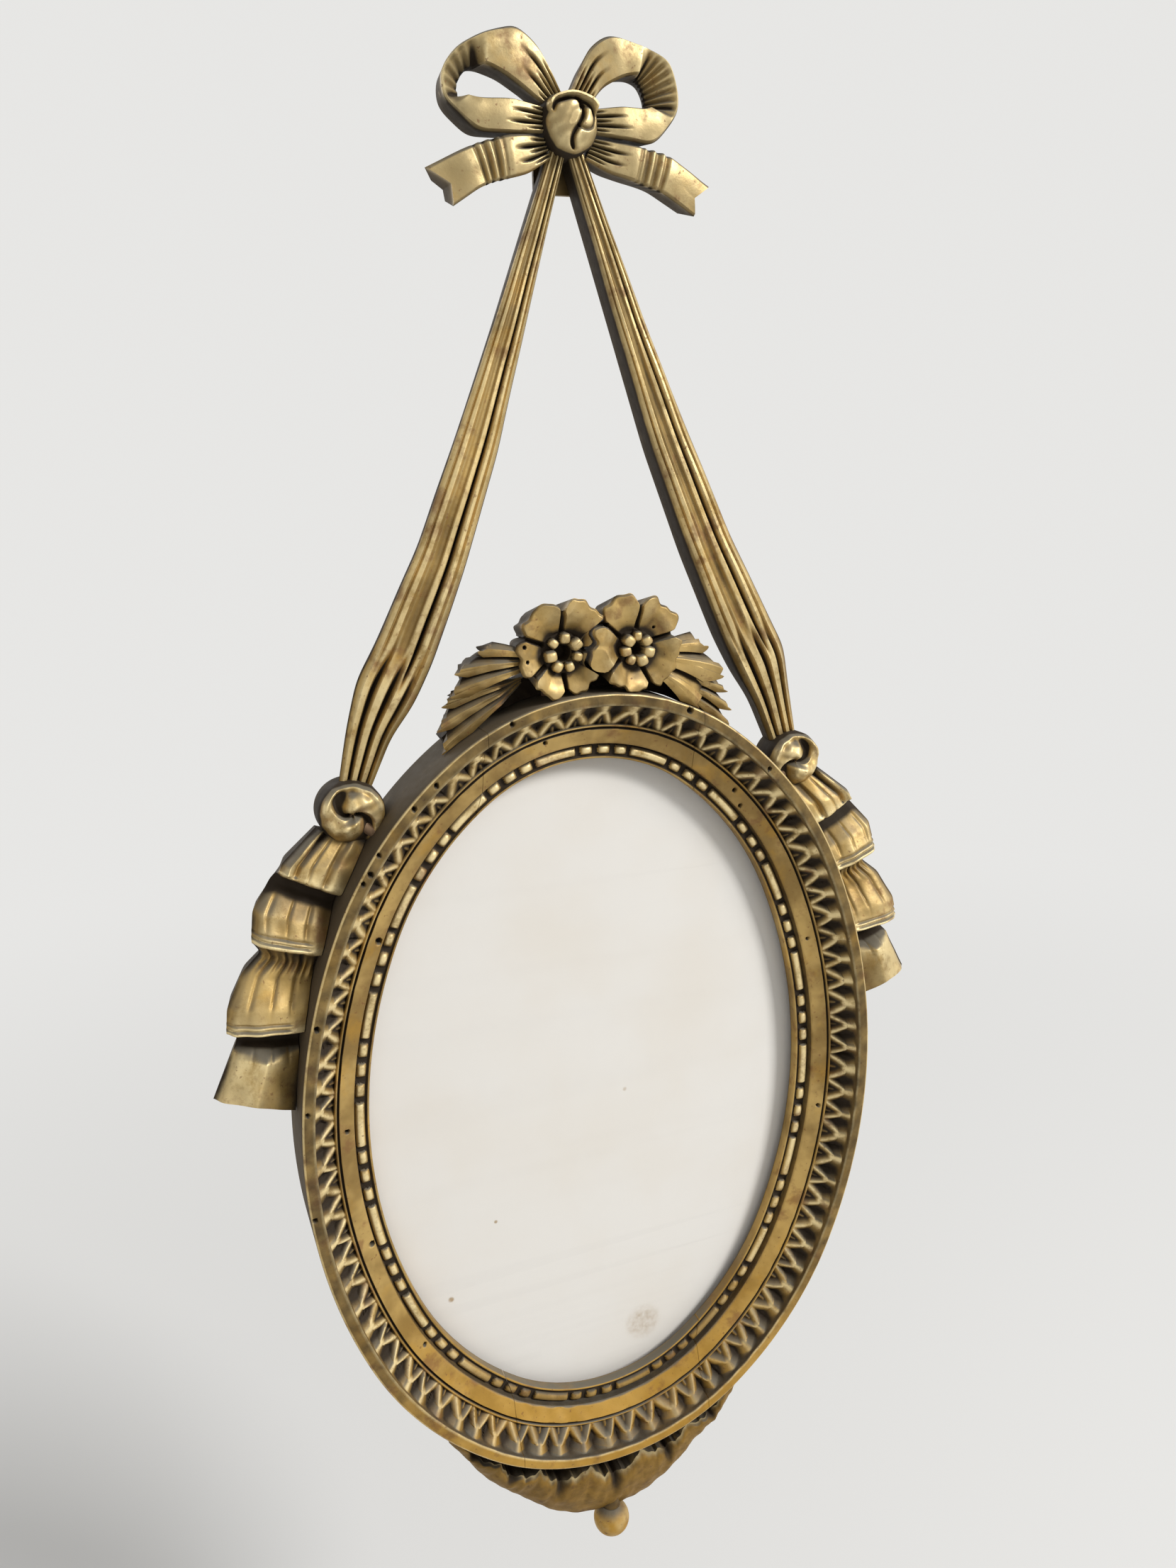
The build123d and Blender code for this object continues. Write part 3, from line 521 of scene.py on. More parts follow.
def place(points):
    """Points of x, depth and z in the frame's metres."""
    x, depth, z = points.T
    return np.stack([x * MM, WALL_Y - depth * MM, CENTRE_Z + z * MM], axis=-1)


def clean(mesh):
    """Merges doubled points and turns all faces outward."""
    work = bmesh.new()
    work.from_mesh(mesh)
    bmesh.ops.remove_doubles(work, verts=work.verts, dist=MERGE_DISTANCE)
    bmesh.ops.recalc_face_normals(work, faces=work.faces)
    work.to_mesh(mesh)
    work.free()


def new_piece(node, points, faces, shades, sharp=50):
    """Gilded piece that stands for a CAD node, with its shades as a colour attribute."""
    name = f"carved_{node}"
    mesh = bpy.data.meshes.new(name)
    mesh.from_pydata(place(points).tolist(), [], faces)
    colour = mesh.color_attributes.new("relief", "FLOAT_COLOR", "POINT")
    colour.data.foreach_set("color", np.ascontiguousarray(shades, np.float32).ravel())
    mesh.polygons.foreach_set("use_smooth", np.ones(len(mesh.polygons), bool))
    mesh.set_sharp_from_angle(angle=radians(sharp))
    mesh.materials.append(GILDING)
    clean(mesh)
    piece = bpy.data.objects.new(name, mesh)
    bpy.context.scene.collection.objects.link(piece)
    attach(piece, "frame")
    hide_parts(node)


def grid_faces(rows, columns, wrap_rows=False, wrap_columns=False):
    """Quads of a grid of points."""
    index = np.arange(rows * columns).reshape(rows, columns)
    if wrap_rows:
        index = np.vstack([index, index[:1]])
    if wrap_columns:
        index = np.hstack([index, index[:, :1]])
    quads = np.stack([index[:-1, :-1], index[1:, :-1], index[1:, 1:], index[:-1, 1:]], axis=-1)
    return quads.reshape(-1, 4).tolist()


def shades_of(x, z, depth, closed=False, reach=1.6, strength=0.9, cavity=0.0, hole=0.0):
    """Shades of a carved front: painted shade with dirt, painted highlight, wall and worm hole.

    The painted shade and the painted highlight follow how far the front lies under or over its own smoothed
    surface.
    """
    smooth = depth
    for axis in (0, 1):
        move = np.hypot(np.diff(x, axis=axis), np.diff(z, axis=axis))
        step = max(float(np.median(move)), LEAST_STEP)
        smooth = blur(smooth, reach / step, axis, closed and axis == 0)
    lift = (depth - smooth) / strength
    hollow = np.clip(np.clip(-lift, 0, 1) + cavity, 0, 1)
    zero = np.zeros_like(x)
    return np.stack([hollow, np.clip(lift, 0, 1), zero, zero + hole], axis=-1)


def add_shade(shades, kind, amount):
    """Adds to one of a front's shades."""
    shades[..., kind] = np.clip(shades[..., kind] + amount, 0, 1)


def back_outline(x, z, loop, closed, undercut, anchor):
    """Outline of a carving's back, drawn in from the front's outline by a share of the width."""
    rows, columns = x.shape
    if closed:
        middle_x, middle_z = x[:, 0].mean(), z[:, 0].mean()
        edge_x, edge_z = x.ravel()[loop], z.ravel()[loop]
    else:
        middle = np.stack([(1 - anchor) * g[:, 0] + anchor * g[:, -1] for g in (x, z)])
        step = max(float(np.median(np.hypot(*np.diff(middle, axis=1)))), LEAST_STEP)
        halves = [np.hypot(x[i, 0] - x[i, -1], z[i, 0] - z[i, -1]) / 2 for i in (0, -1)]
        first, last = (min(undercut * half / step, 0.2 * rows) for half in halves)
        row = first + (loop // columns) * (rows - 1 - first - last) / (rows - 1)
        low = np.minimum(row.astype(int), rows - 2)
        part = row - low
        column = loop % columns
        edge_x, edge_z = ((1 - part) * g[low, column] + part * g[low + 1, column] for g in (x, z))
        middle_x, middle_z = ((1 - part) * m[low] + part * m[low + 1] for m in middle)
    keep = 1 - undercut
    return middle_x + (edge_x - middle_x) * keep, middle_z + (edge_z - middle_z) * keep


def shell(x, z, depth, shades, closed=False, undercut=0.0, anchor=0.5):
    """Closed solid under a carved front: points, faces and shades.

    Rows run along the piece and columns across it. On a closed piece the rows run round a middle and
    the first column is that middle. Walls lean in towards the back by the undercut, to the middle or
    to another anchor across the piece.
    """
    rows, columns = x.shape
    index = np.arange(rows * columns).reshape(rows, columns)
    points = [np.stack([x, depth, z], axis=-1).reshape(-1, 3)]
    colours = [shades.reshape(-1, 4)]
    faces = grid_faces(rows, columns, closed)
    if closed:
        loop = index[:, -1]
    else:
        loop = np.concatenate([index[0], index[1:, -1], index[-1, -2::-1], index[-2:0:-1, 0]])
    rim, shade = points[0][loop], colours[0][loop]
    back_x, back_z = back_outline(x, z, loop, closed, undercut, anchor)
    foot = np.stack([back_x, np.full(len(loop), ORNAMENT_BACK), back_z], axis=-1)
    last = loop
    for row in range(1, WALL_ROWS + 1):
        share = row / WALL_ROWS
        colour = shade.copy()
        # Towards its foot a wall takes painted shade and loses its painted highlight.
        colour[:, 0] = shade[:, 0] * (1 - share) + WALL_FOOT_SHADE * share
        colour[:, 1] = shade[:, 1] * (1 - share) ** 2
        colour[:, 2] = min(1.0, WALL_TOP + share)
        points.append(rim + (foot - rim) * share)
        colours.append(colour)
        ring = np.arange(len(loop)) + rows * columns + (row - 1) * len(loop)
        faces += np.stack([last, np.roll(last, -1), np.roll(ring, -1), ring], axis=-1).tolist()
        last = ring
    faces.append(last[::-1].tolist())
    return np.vstack(points), faces, np.vstack(colours)


def carve(node, *parts, sharp=50):
    """Piece made from one or more shells."""
    points, faces, shades, count = [], [], [], 0
    for part_points, part_faces, part_shades in parts:
        points.append(part_points)
        shades.append(part_shades)
        faces += [[i + count for i in face] for face in part_faces]
        count += len(part_points)
    new_piece(node, np.vstack(points), faces, np.vstack(shades), sharp)


def worm_holes(x, z, holes):
    """Mask of worm holes given by place and diameter."""
    mask = np.zeros_like(x)
    for hole_x, hole_z, diameter in holes:
        reach = np.hypot(x - hole_x, z - hole_z)
        mask = np.maximum(mask, fade(0.32 * diameter, 0.55 * diameter, reach))
    return mask


# Rail
# Section from the lip's back round the front to the rabbet: runs of points between two ends
RAIL_SECTION = (
    ((RABBET_WIDTH, RABBET_DEPTH), (0.0, RABBET_DEPTH), 3),
    ((0.0, 7.6), (0.0, 9.6), 3),
    ((0.12, 9.84), (0.55, 9.88), 3),
    ((0.70, 9.62), (0.80, CHANNEL_FLOOR), 2),
    ((0.95, CHANNEL_FLOOR), (3.75, CHANNEL_FLOOR), 22),
    ((3.92, 9.5), (4.0, 11.3), 3),
    ((4.08, 11.6), (4.3, 11.82), 3),
    ((4.5, 11.92), (7.85, 13.26), 12),
    ((7.98, 13.1), (8.12, 12.5), 3),
    ((8.3, 12.45), (8.48, 12.9), 3),
    ((8.54, 13.4), (8.66, 13.58), 2),
    ((8.86, 13.58), (9.04, 13.4), 2),
    ((LEAF_START, LEAF_LOW), (LEAF_END, LEAF_HIGH), 30),
    ((14.4, 18.25), (14.42, 19.0), 3),
    ((14.5, 19.25), (14.7, 19.38), 2),
    ((15.2, 19.4), (16.9, 19.4), 6),
    ((17.2, 19.32), (17.42, 19.1), 2),
    ((RAIL_WIDTH, 18.8), (RAIL_WIDTH, 0.0), 9),
    ((14.0, 0.0), (RABBET_WIDTH, 0.0), 3),
    ((RABBET_WIDTH, 2.0), (RABBET_WIDTH, 6.0), 2),
)
# Worm holes in the rail: run from the top centre, offset and diameter
RAIL_HOLES = (
    (22.5, 16.4, 1.6), (49.0, 15.6, 1.0), (49.0, 6.6, 1.3), (54.0, 5.0, 1.1), (102.3, 5.9, 1.0),
    (155.8, 6.8, 1.1), (347.9, 5.0, 1.1), (385.0, 4.8, 1.5), (401.7, 16.5, 1.2), (419.0, 6.0, 1.3),
    (428.4, 16.3, 1.0), (449.0, 16.2, 1.4), (470.0, 5.4, 1.8), (483.4, 16.4, 1.1), (486.0, 16.0, 1.3),
    (490.5, 16.6, 1.0), (503.0, 16.2, 1.2), (510.0, 16.0, 1.2), (531.0, 16.5, 1.1), (538.5, 7.2, 1.2),
)
# One reel and three beads in each period: start and end as shares of it, length of the rounded ends
BEADS = ((0.0, 0.42, 0.7), (0.465, 0.60, 1.6), (0.65, 0.785, 1.6), (0.83, 0.965, 1.6))
# Length of a period along the beads, which run inside the pattern's line
HALF_AXES = HALF_WIDTH + HALF_HEIGHT
PATTERN_GROWTH = 20.0
BEAD_LENGTH = OVAL_LENGTH / BEAD_PERIODS * HALF_AXES / (HALF_AXES + PATTERN_GROWTH)


def leaf_ridges(phase, share):
    """Ridge height and hollow depth of a leaf: a column that splits into two legs, a dart between."""
    side = np.abs(phase)
    spread = 0.12 + 0.30 * np.clip((LEAF_SPLIT - share) / LEAF_SPLIT, 0, 1) ** 0.85
    legs = tent(side - spread, 0.29) * fade(LEAF_SPLIT + 0.02, LEAF_SPLIT + 0.22, share)
    column = tent(side, 0.42 + 0.12 * smoothstep(0.70, 1.0, share))
    column = column * smoothstep(LEAF_SPLIT - 0.24, LEAF_SPLIT, share)
    dart = 0.6 * tent(side, 0.06 + 0.16 * np.clip(0.4 - share, 0, 1))
    dart = dart * fade(0.22, 0.42, share)
    ridge = np.maximum(np.maximum(legs, column), dart) ** 0.75
    inside = fade(spread - 0.03, spread + 0.03, side)
    hollow = (1.5 + 1.1 * share) * (1 - inside) + 1.3 * inside
    return ridge, hollow


def leaf_band(run, offset):
    """Ridge height and hollow depth of the leaf band, uneven from leaf to leaf."""
    lap = 2 * pi * run / OVAL_LENGTH
    wander = run + 0.35 * np.sin(24 * lap + 1) + 0.3 * np.sin(57 * lap + 4)
    leaf = wander / OVAL_LENGTH * LEAF_COUNT - LEAF_PHASE
    number = np.round(leaf)
    ridge, hollow = leaf_ridges(leaf - number, (offset - LEAF_START) / (LEAF_END - LEAF_START))
    return ridge, hollow * (1 + 0.18 * np.sin(2.3 * number) + 0.12 * np.sin(5.1 * number))


def bead_height(run, offset):
    """Height of the bead-and-reel over its channel."""
    phase = (run / OVAL_LENGTH * BEAD_PERIODS - BEAD_PHASE) % 1.0
    width = rounded(offset - BEAD_OFFSET, BEAD_RADIUS)
    height = np.zeros_like(phase)
    for start, end, ends in BEADS:
        middle, half = (start + end) / 2 * BEAD_LENGTH, (end - start) / 2 * BEAD_LENGTH
        away = np.abs(phase * BEAD_LENGTH - middle)
        end_share = np.clip((away - (half - ends)) / ends, 0, 1)
        height = np.maximum(height, BEAD_RADIUS * width * rounded(end_share, 1) * (away < half))
    return height


def joint_turn(offset):
    """Turn at which a line parallel to the sight line meets the joint's upright plane."""
    return np.degrees(np.arcsin(JOINT_X / (end_radius + offset)))


def rail_grid(low, high):
    """Turn, offset and plain height over one length of the rail, with cracks left at its joints."""
    offsets, heights = (
        np.concatenate([np.linspace(a[i], b[i], n) for a, b, n in RAIL_SECTION]) for i in (0, 1)
    )
    crack = np.degrees(JOINT_CRACK / (end_radius + offsets))
    first, last = low(offsets) + crack, high(offsets) - crack
    low_run, high_run = run_at(low(PATTERN_OFFSET)), run_at(high(PATTERN_OFFSET))
    even = turn_at(np.linspace(low_run, high_run, int((high_run - low_run) / RAIL_STEP)))
    share = (even - even[0]) / (even[-1] - even[0])
    turn = first + share[:, None] * (last - first)
    return turn, np.broadcast_to(offsets, turn.shape), np.broadcast_to(heights, turn.shape)


def rail_carving(run, offset, base):
    """Carved height of the rail over its section, and its shades: painted shade with dirt in the hollows,
    painted highlights on ridges and beads; duller towards the bottom.
    """
    front = (offset > BRINK[0]) & (base > FRONT_LOW) & ((offset < RIM_START) | (base > RIM_LOW))
    leaves, rim, plain, groove, brink = (
        front & within(offset, zone) for zone in (LEAVES, RIM, PLAIN, GROOVE, BRINK)
    )
    channel = front & within(offset, CHANNEL) & (base < CHANNEL_HIGH)
    steps, corners = (
        front & (within(offset, a) | within(offset, b)) for a, b in (STEPS, RIM_CORNERS)
    )
    ridge, hollow = leaf_band(run, offset)
    beads = np.where(channel, bead_height(run, offset), 0)
    hole = np.where(front, worm_holes(run, offset, RAIL_HOLES), 0)
    uneven = ripple(run, 2 * offset, 7.0, 3)
    height = base + beads - np.where(leaves, (1 - ridge) * hollow, 0) - 1.4 * hole
    height = height + np.where(plain | rim, 0.06 * uneven, 0)

    low = smoothstep(0.80, 0.98, 0.5 - 0.5 * np.cos(2 * pi * run / OVAL_LENGTH))
    # Painted shade with dirt in the leaf band's hollows, between the beads, in the groove and on the steps
    # and brink; dirt on the rim.
    leaf_grime_and_shade = 0.10 + (0.95 - 0.25 * low) * (1 - ridge) ** 1.1
    rim_grime = 0.47 - 0.27 * low + 0.04 * uneven
    rail_grime_and_shade = np.select(
        [channel & (beads < 0.45), channel, leaves, rim, groove, steps, brink, plain],
        [0.95, 0.38 * low, leaf_grime_and_shade, rim_grime, 0.75, 0.5, 0.6, 0.10 + 0.05 * uneven],
        0.0,
    )
    # Painted highlights on the leaves' ridges, the beads and the rim's corners, fainter towards the bottom.
    leaf_highlight = (0.95 - 0.5 * low) * smoothstep(0.62, 0.95, ridge)
    bead_highlight = (1 - 0.85 * low) * smoothstep(0.7, 1.2, beads)
    edge = np.select([leaves, channel, corners], [leaf_highlight, bead_highlight, 0.6], 0.0)
    outer_wall = (offset > RIM_START) & (base < OUTER_WALL_HIGH)
    wall = np.where(outer_wall | (base < LIP_HIGH), 1.0, 0.0)
    return height, np.stack([rail_grime_and_shade, edge, wall, hole], axis=-1)


def rail(node, low, high):
    """One length of the rail; low and high give its end turns from the offset."""
    turn, offset, base = rail_grid(low, high)
    x, z = oval(turn, offset)
    height, shades = rail_carving(run_at(turn) % OVAL_LENGTH, offset, base)
    rows, columns = turn.shape
    faces = grid_faces(rows, columns, wrap_columns=True)
    faces.append(list(range(columns)))
    faces.append(list(range((rows - 1) * columns, rows * columns))[::-1])
    points = np.stack([x, RAIL_BACK + height, z], axis=-1).reshape(-1, 3)
    new_piece(node, points, faces, shades.reshape(-1, 4), sharp=60)


# Strips
def soften(rows, reach):
    """Rounds the corners of a table of rows, with its ends kept."""
    reach = max(int(round(reach)), 1)
    for _ in range(2):
        wide = np.pad(rows, ((reach + 1, reach), (0, 0)), mode="reflect", reflect_type="odd")
        sums = np.cumsum(wide, axis=0)
        rows = (sums[2 * reach + 1:] - sums[: -2 * reach - 1]) / (2 * reach + 1)
    return rows


def ribbon(stations, side, rows, columns, corner):
    """Strip through stations of inner and outer edge points, with its corners rounded.

    Gives front-view x and z, the shares along and across, and the stations' shares along.
    """
    edges = np.array([(*inner, *outer) for inner, outer in stations])
    middle = (edges[:, :2] + edges[:, 2:]) / 2
    run = np.concatenate([[0], np.cumsum(np.hypot(*np.diff(middle, axis=0).T))])
    marks = run / run[-1]
    u = np.linspace(0, 1, rows)
    track = np.stack([np.interp(u, marks, column) for column in edges.T], axis=1)
    track = soften(track, corner / run[-1] * rows / 2)
    v = np.linspace(0, 1, columns)
    x = track[:, None, 0] * (1 - v) + track[:, None, 2] * v
    z = track[:, None, 1] * (1 - v) + track[:, None, 3] * v
    return side * x, z, np.broadcast_to(u[:, None], x.shape), np.broadcast_to(v, x.shape), marks


def along(u, marks, values, corner=0.012):
    """Values at stations spread along a strip."""
    row = np.interp(u[:, 0], marks, values)[:, None]
    return soften(row, corner * len(row))


# Straps: stations of inner and outer edge points from the bow down, and the height at each
STRAP = (
    ((0.35, 225.4), (3.9, 226.9)), ((11.4, 188.6), (18.2, 191.4)), ((19.0, 163.0), (28.6, 167.0)),
    ((28.2, 137.8), (39.4, 142.6)), ((37.2, 116.4), (50.6, 121.4)), ((42.0, 107.4), (55.0, 113.8)),
    ((47.6, 99.6), (57.4, 104.0)), ((53.4, 86.8), (60.6, 88.6)),
)
STRAP_HEIGHTS = (6.9, 7.6, 8.6, 9.6, 9.9, 9.6, 7.2, 5.6)
STRAP_UNDERCUT = {-1: 0.30, 1: 0.12}
MAIN_FLUTE = 0.645
# Front heights across a strap as the viewer sees it, from left to right: long part and pleated foot
FLUTES = (
    (0.00, 0.76), (0.03, 0.92), (0.10, 0.97), (0.135, 0.90), (0.17, 0.985), (0.25, 1.00), (0.285, 0.93),
    (0.32, 0.965), (0.40, 0.90), (0.46, 0.90), (0.50, 0.99), (0.585, 0.99), (0.615, 0.93),
    (MAIN_FLUTE, 0.58), (0.68, 0.93), (0.73, 0.99), (0.79, 0.97), (0.82, 0.89), (0.86, 0.95),
    (0.94, 0.88), (1.00, 0.74),
)
PLEATS = (
    (0.00, 0.70), (0.10, 0.92), (0.20, 0.90), (0.27, 0.64), (0.33, 0.96), (0.46, 1.00), (0.53, 0.66),
    (0.60, 0.98), (0.73, 0.94), (0.79, 0.68), (0.86, 0.90), (1.00, 0.70),
)


def strap(side, side_name):
    """Fluted strap from the bow to a side knot, gathered into pleats at its foot."""
    x, z, u, v, marks = ribbon(STRAP, side, rows=460, columns=72, corner=5.0)
    w = 1 - v if side < 0 else v
    flutes, pleats = (np.interp(w, *zip(*heights)) for heights in (FLUTES, PLEATS))
    gather = smoothstep(marks[4] - 0.03, marks[5] + 0.01, u)
    front = flutes * (1 - gather) + pleats * gather
    depth = ORNAMENT_BACK + along(u, marks, STRAP_HEIGHTS) * front
    depth = depth + 0.14 * ripple(u * 60, w * 14, 9.0, 11 + side)
    # Dirt and painted shade along the main flute.
    dark = 0.5 * bump(w, MAIN_FLUTE, 0.022) * (1 - gather)
    shades = shades_of(x, z, depth, reach=1.5, strength=1.1, cavity=dark)
    part = shell(x, z, depth, shades, undercut=STRAP_UNDERCUT[side])
    carve(f"strap_{side_name}", part, sharp=40)


# Bow: stations of inner and outer edge points from the knot's centre
LOOPS = {
    -1: (
        ((4.6, 3.6), (0.8, 6.0)), ((8.6, 5.3), (6.4, 15.0)), ((14.2, 8.4), (11.8, 18.4)),
        ((19.0, 10.6), (19.4, 16.2)), ((21.8, 10.4), (24.6, 13.4)), ((23.8, 7.4), (28.0, 9.2)),
        ((23.4, 4.6), (28.0, 3.6)), ((20.0, 3.9), (21.2, -2.6)), ((13.0, 4.3), (13.4, -2.6)),
        ((4.4, 3.2), (4.2, -1.5)),
    ),
    1: (
        ((4.6, 3.8), (0.6, 6.4)), ((8.2, 8.2), (5.0, 15.6)), ((12.6, 10.2), (9.4, 18.4)),
        ((16.4, 11.2), (17.6, 16.8)), ((18.4, 10.4), (24.2, 14.8)), ((19.8, 7.6), (26.4, 9.6)),
        ((19.8, 5.2), (26.6, 4.4)), ((17.4, 4.4), (19.8, -3.0)), ((12.4, 4.5), (12.8, -2.2)),
        ((4.4, 3.6), (4.2, -1.0)),
    ),
}
LOOP_HEIGHTS = (0.78, 0.90, 0.99, 0.97, 0.92, 0.84, 0.86, 0.95, 0.97, 0.80)
LOOP_FOLDS = {-1: (0.30, 26), 1: (0.40, 34)}
# Painted shade on each loop's folded inside.
LOOP_INSIDE_SHADE = {-1: 0.42, 1: 0.12}
BOW_TAILS = {
    -1: (
        ((4.2, -6.6), (5.8, -2.4)), ((9.5, -10.0), (9.4, -2.2)), ((13.2, -11.2), (14.0, -2.8)),
        ((17.6, -12.1), (19.8, -4.2)), ((21.0, -13.6), (24.5, -6.2)), ((26.8, -17.3), (32.6, -10.1)),
    ),
    1: (
        ((4.0, -6.2), (6.0, -1.8)), ((9.0, -9.0), (9.8, -2.4)), ((14.2, -10.4), (15.9, -3.4)),
        ((17.6, -11.2), (19.6, -3.6)), ((21.0, -12.1), (23.2, -4.5)), ((30.0, -16.8), (33.8, -10.4)),
    ),
}
BOW_TAIL_HEIGHTS = (0.76, 0.88, 0.98, 0.92, 0.96, 0.86)
BOW_TAIL_NOTCHES = {-1: (27.3, -13.1), 1: (29.6, -13.2)}
# Gouges at the gathered end of a ribbon: place across it, depth, half width and length along it
GATHERS = (
    (0.15, 1.0, 0.035, 0.10), (0.32, 1.7, 0.045, 0.20), (0.50, 1.5, 0.040, 0.13),
    (0.66, 1.8, 0.045, 0.22), (0.84, 1.1, 0.035, 0.12),
)


def gathers(away, v, scale):
    """Teardrop gouges that run out from the gathered end of a ribbon."""
    cut = 0
    for line, depth, width, length in GATHERS:
        share = away / (length * scale)
        tear = bump(v, line, width * (1.3 - 0.6 * share))
        cut = cut + depth * tear * fade(0.45, 1.0, share)
    return cut


def above_bow(stations):
    """Stations given from the knot, moved to the bow's height."""
    return [((a, b + BOW_Z), (c, d + BOW_Z)) for (a, b), (c, d) in stations]


def ribbon_front(u, v, marks, heights, outer_drop):
    """Front of a bow's ribbon, crowned and rounded off along both edges."""
    crown = 1 - 0.05 * (2 * v - 1) ** 2 - outer_drop * smoothstep(0.92, 1.0, v)
    crown = crown - 0.08 * fade(0.0, 0.06, v)
    return ORNAMENT_BACK + BOW_DEPTH * along(u, marks, heights) * crown


def bow_loop(side, side_name):
    """Loop of the bow: a flat ribbon that turns at the outer corner and shows its folded inside."""
    x, z, u, v, marks = ribbon(above_bow(LOOPS[side]), side, rows=300, columns=52, corner=3.0)
    depth = ribbon_front(u, v, marks, LOOP_HEIGHTS, 0.10)
    depth = depth - gathers(u, v, 1.0) - gathers(1 - u, v, 0.9)
    bend = smoothstep(marks[3] - 0.01, marks[3] + 0.03, u)
    bend = bend * fade(marks[6] - 0.01, marks[6] + 0.04, u)
    inside = bend * (1 - v)
    fold_depth, fold_count = LOOP_FOLDS[side]
    folds = bend * (1 + np.sin(u * 2 * pi * fold_count)) * fade(0.75, 0.95, v)
    depth = depth - 4.2 * inside - fold_depth * folds + 0.09 * ripple(x, z, 6.0, 21 + side)
    # Painted shade on the folded inside of the turn, darker on the left loop, and just past the turn.
    turned = 0.34 * bump(u, marks[6] + 0.03, 0.05) * smoothstep(0.1, 0.6, v)
    dark = LOOP_INSIDE_SHADE[side] * inside + turned
    shades = shades_of(x, z, depth, reach=1.3, strength=1.2, cavity=dark)
    # Painted highlight along the turn's outer rim.
    add_shade(shades, HIGHLIGHT, 0.6 * bend * smoothstep(0.88, 0.96, v))
    carve(f"bow_loop_{side_name}", shell(x, z, depth, shades, undercut=0.35), sharp=40)


def bow_tail(side, side_name):
    """Notched ribbon end of the bow, with three cross ridges."""
    stations = above_bow(BOW_TAILS[side])
    x, z, u, v, marks = ribbon(stations, side, rows=220, columns=48, corner=2.5)
    (inner_x, inner_z), (outer_x, outer_z) = stations[-1]
    notch_x, notch_z = BOW_TAIL_NOTCHES[side]
    pull = smoothstep(0.72, 1.0, u) * tent(v - 0.5, 0.5)
    x = x + side * pull * (notch_x - (inner_x + outer_x) / 2)
    z = z + pull * (notch_z + BOW_Z - (inner_z + outer_z) / 2)
    depth = ribbon_front(u, v, marks, BOW_TAIL_HEIGHTS, 0.08)
    ridges = smoothstep(0.38, 0.42, u) * fade(0.60, 0.66, u)
    depth = depth - 0.5 * ridges * (1 + np.cos(u * 2 * pi * 13)) - gathers(u, v, 1.5)
    depth = depth + 0.08 * ripple(x, z, 6.0, 31 + side)
    shades = shades_of(x, z, depth, reach=1.3, strength=1.2)
    carve(f"bow_tail_{side_name}", shell(x, z, depth, shades, undercut=0.45), sharp=40)


# Round pieces
def disc(rows, columns, reach):
    """Polar grid: radii, angles and shares of the reach, which is given for each angle."""
    angle = np.linspace(0, 2 * pi, rows, endpoint=False)[:, None]
    share = np.linspace(0.004, 1, columns)[None, :]
    shape = (rows, columns)
    return share * reach(angle), np.broadcast_to(angle, shape), np.broadcast_to(share, shape)


def bow_knot():
    """Knot boss with an S-shaped cleft and a thin roll over its top."""
    r, angle, share = disc(160, 52, lambda a: KNOT_RADIUS + 0.5 + 0.9 * bump(np.sin(a), 0.62, 0.25))
    x, z = r * np.cos(angle), r * np.sin(angle)
    depth = 7.0 + 5.5 * np.sqrt(np.clip(1 - (0.94 * share) ** 2.6, 0, 1))
    cleft_x = 0.9 * np.sin((z + 0.6) / KNOT_RADIUS * pi) * 1.5 + 0.9
    cleft = bump(x - cleft_x, 0, 0.55) * fade(0.70, 0.92, share)
    side_cut = bump(np.hypot(x - 2.6, z - 1.0) - 2.3, 0, 0.4) * (x > 1.0)
    over = smoothstep(0.30, 0.60, np.sin(angle))
    roll = 3.2 * bump(share, 0.90, 0.06) - 1.1 * bump(share, 0.74, 0.05)
    depth = depth - 1.7 * cleft - 0.8 * side_cut + roll * over + 0.12 * ripple(x, z, 3.0, 5)
    depth = ORNAMENT_BACK + np.minimum(depth, KNOT_DEPTH)
    shades = shades_of(x, z, depth, True, 0.9, 0.6)
    carve("bow_knot", shell(x, z + BOW_Z, depth, shades, closed=True))


def side_knot(side, side_name):
    """Side knot: two crescents wound into each other."""
    r, angle, share = disc(220, 60, lambda a: SIDE_KNOT_RADIUS + 0.12 * np.sin(2 * a + 1))
    x, z = r * np.cos(angle), r * np.sin(angle)
    dome = np.sqrt(np.clip(1 - (0.95 * share) ** 2.4, 0, 1))
    turn = ((angle - 1.9 * share + 0.5) / pi) % 1.0
    crescent = smoothstep(0.0, 0.35, turn) * fade(0.86, 1.0, turn)
    depth = 4.2 + 6.4 * dome * (0.50 + 0.36 * crescent + 0.20 * bump(turn, 0.55, 0.24))
    brim = bump(r, 6.7, 0.8) * smoothstep(-0.2, 0.5, np.sin(angle))
    depth = depth - 2.4 * bump(r, 0, 1.3) + 1.6 * brim + 0.18 * ripple(x, z, 3.0, 8)
    depth = ORNAMENT_BACK + np.minimum(depth, SIDE_KNOT_DEPTH)
    # Painted shade between the crescents.
    shades = shades_of(x, z, depth, True, 1.3, 0.8, cavity=0.35 * (1 - crescent) * (share < 0.85))
    part = shell(side * (x + SIDE_KNOT_X), z + SIDE_KNOT_Z, depth, shades, closed=True)
    carve(f"side_knot_{side_name}", part)


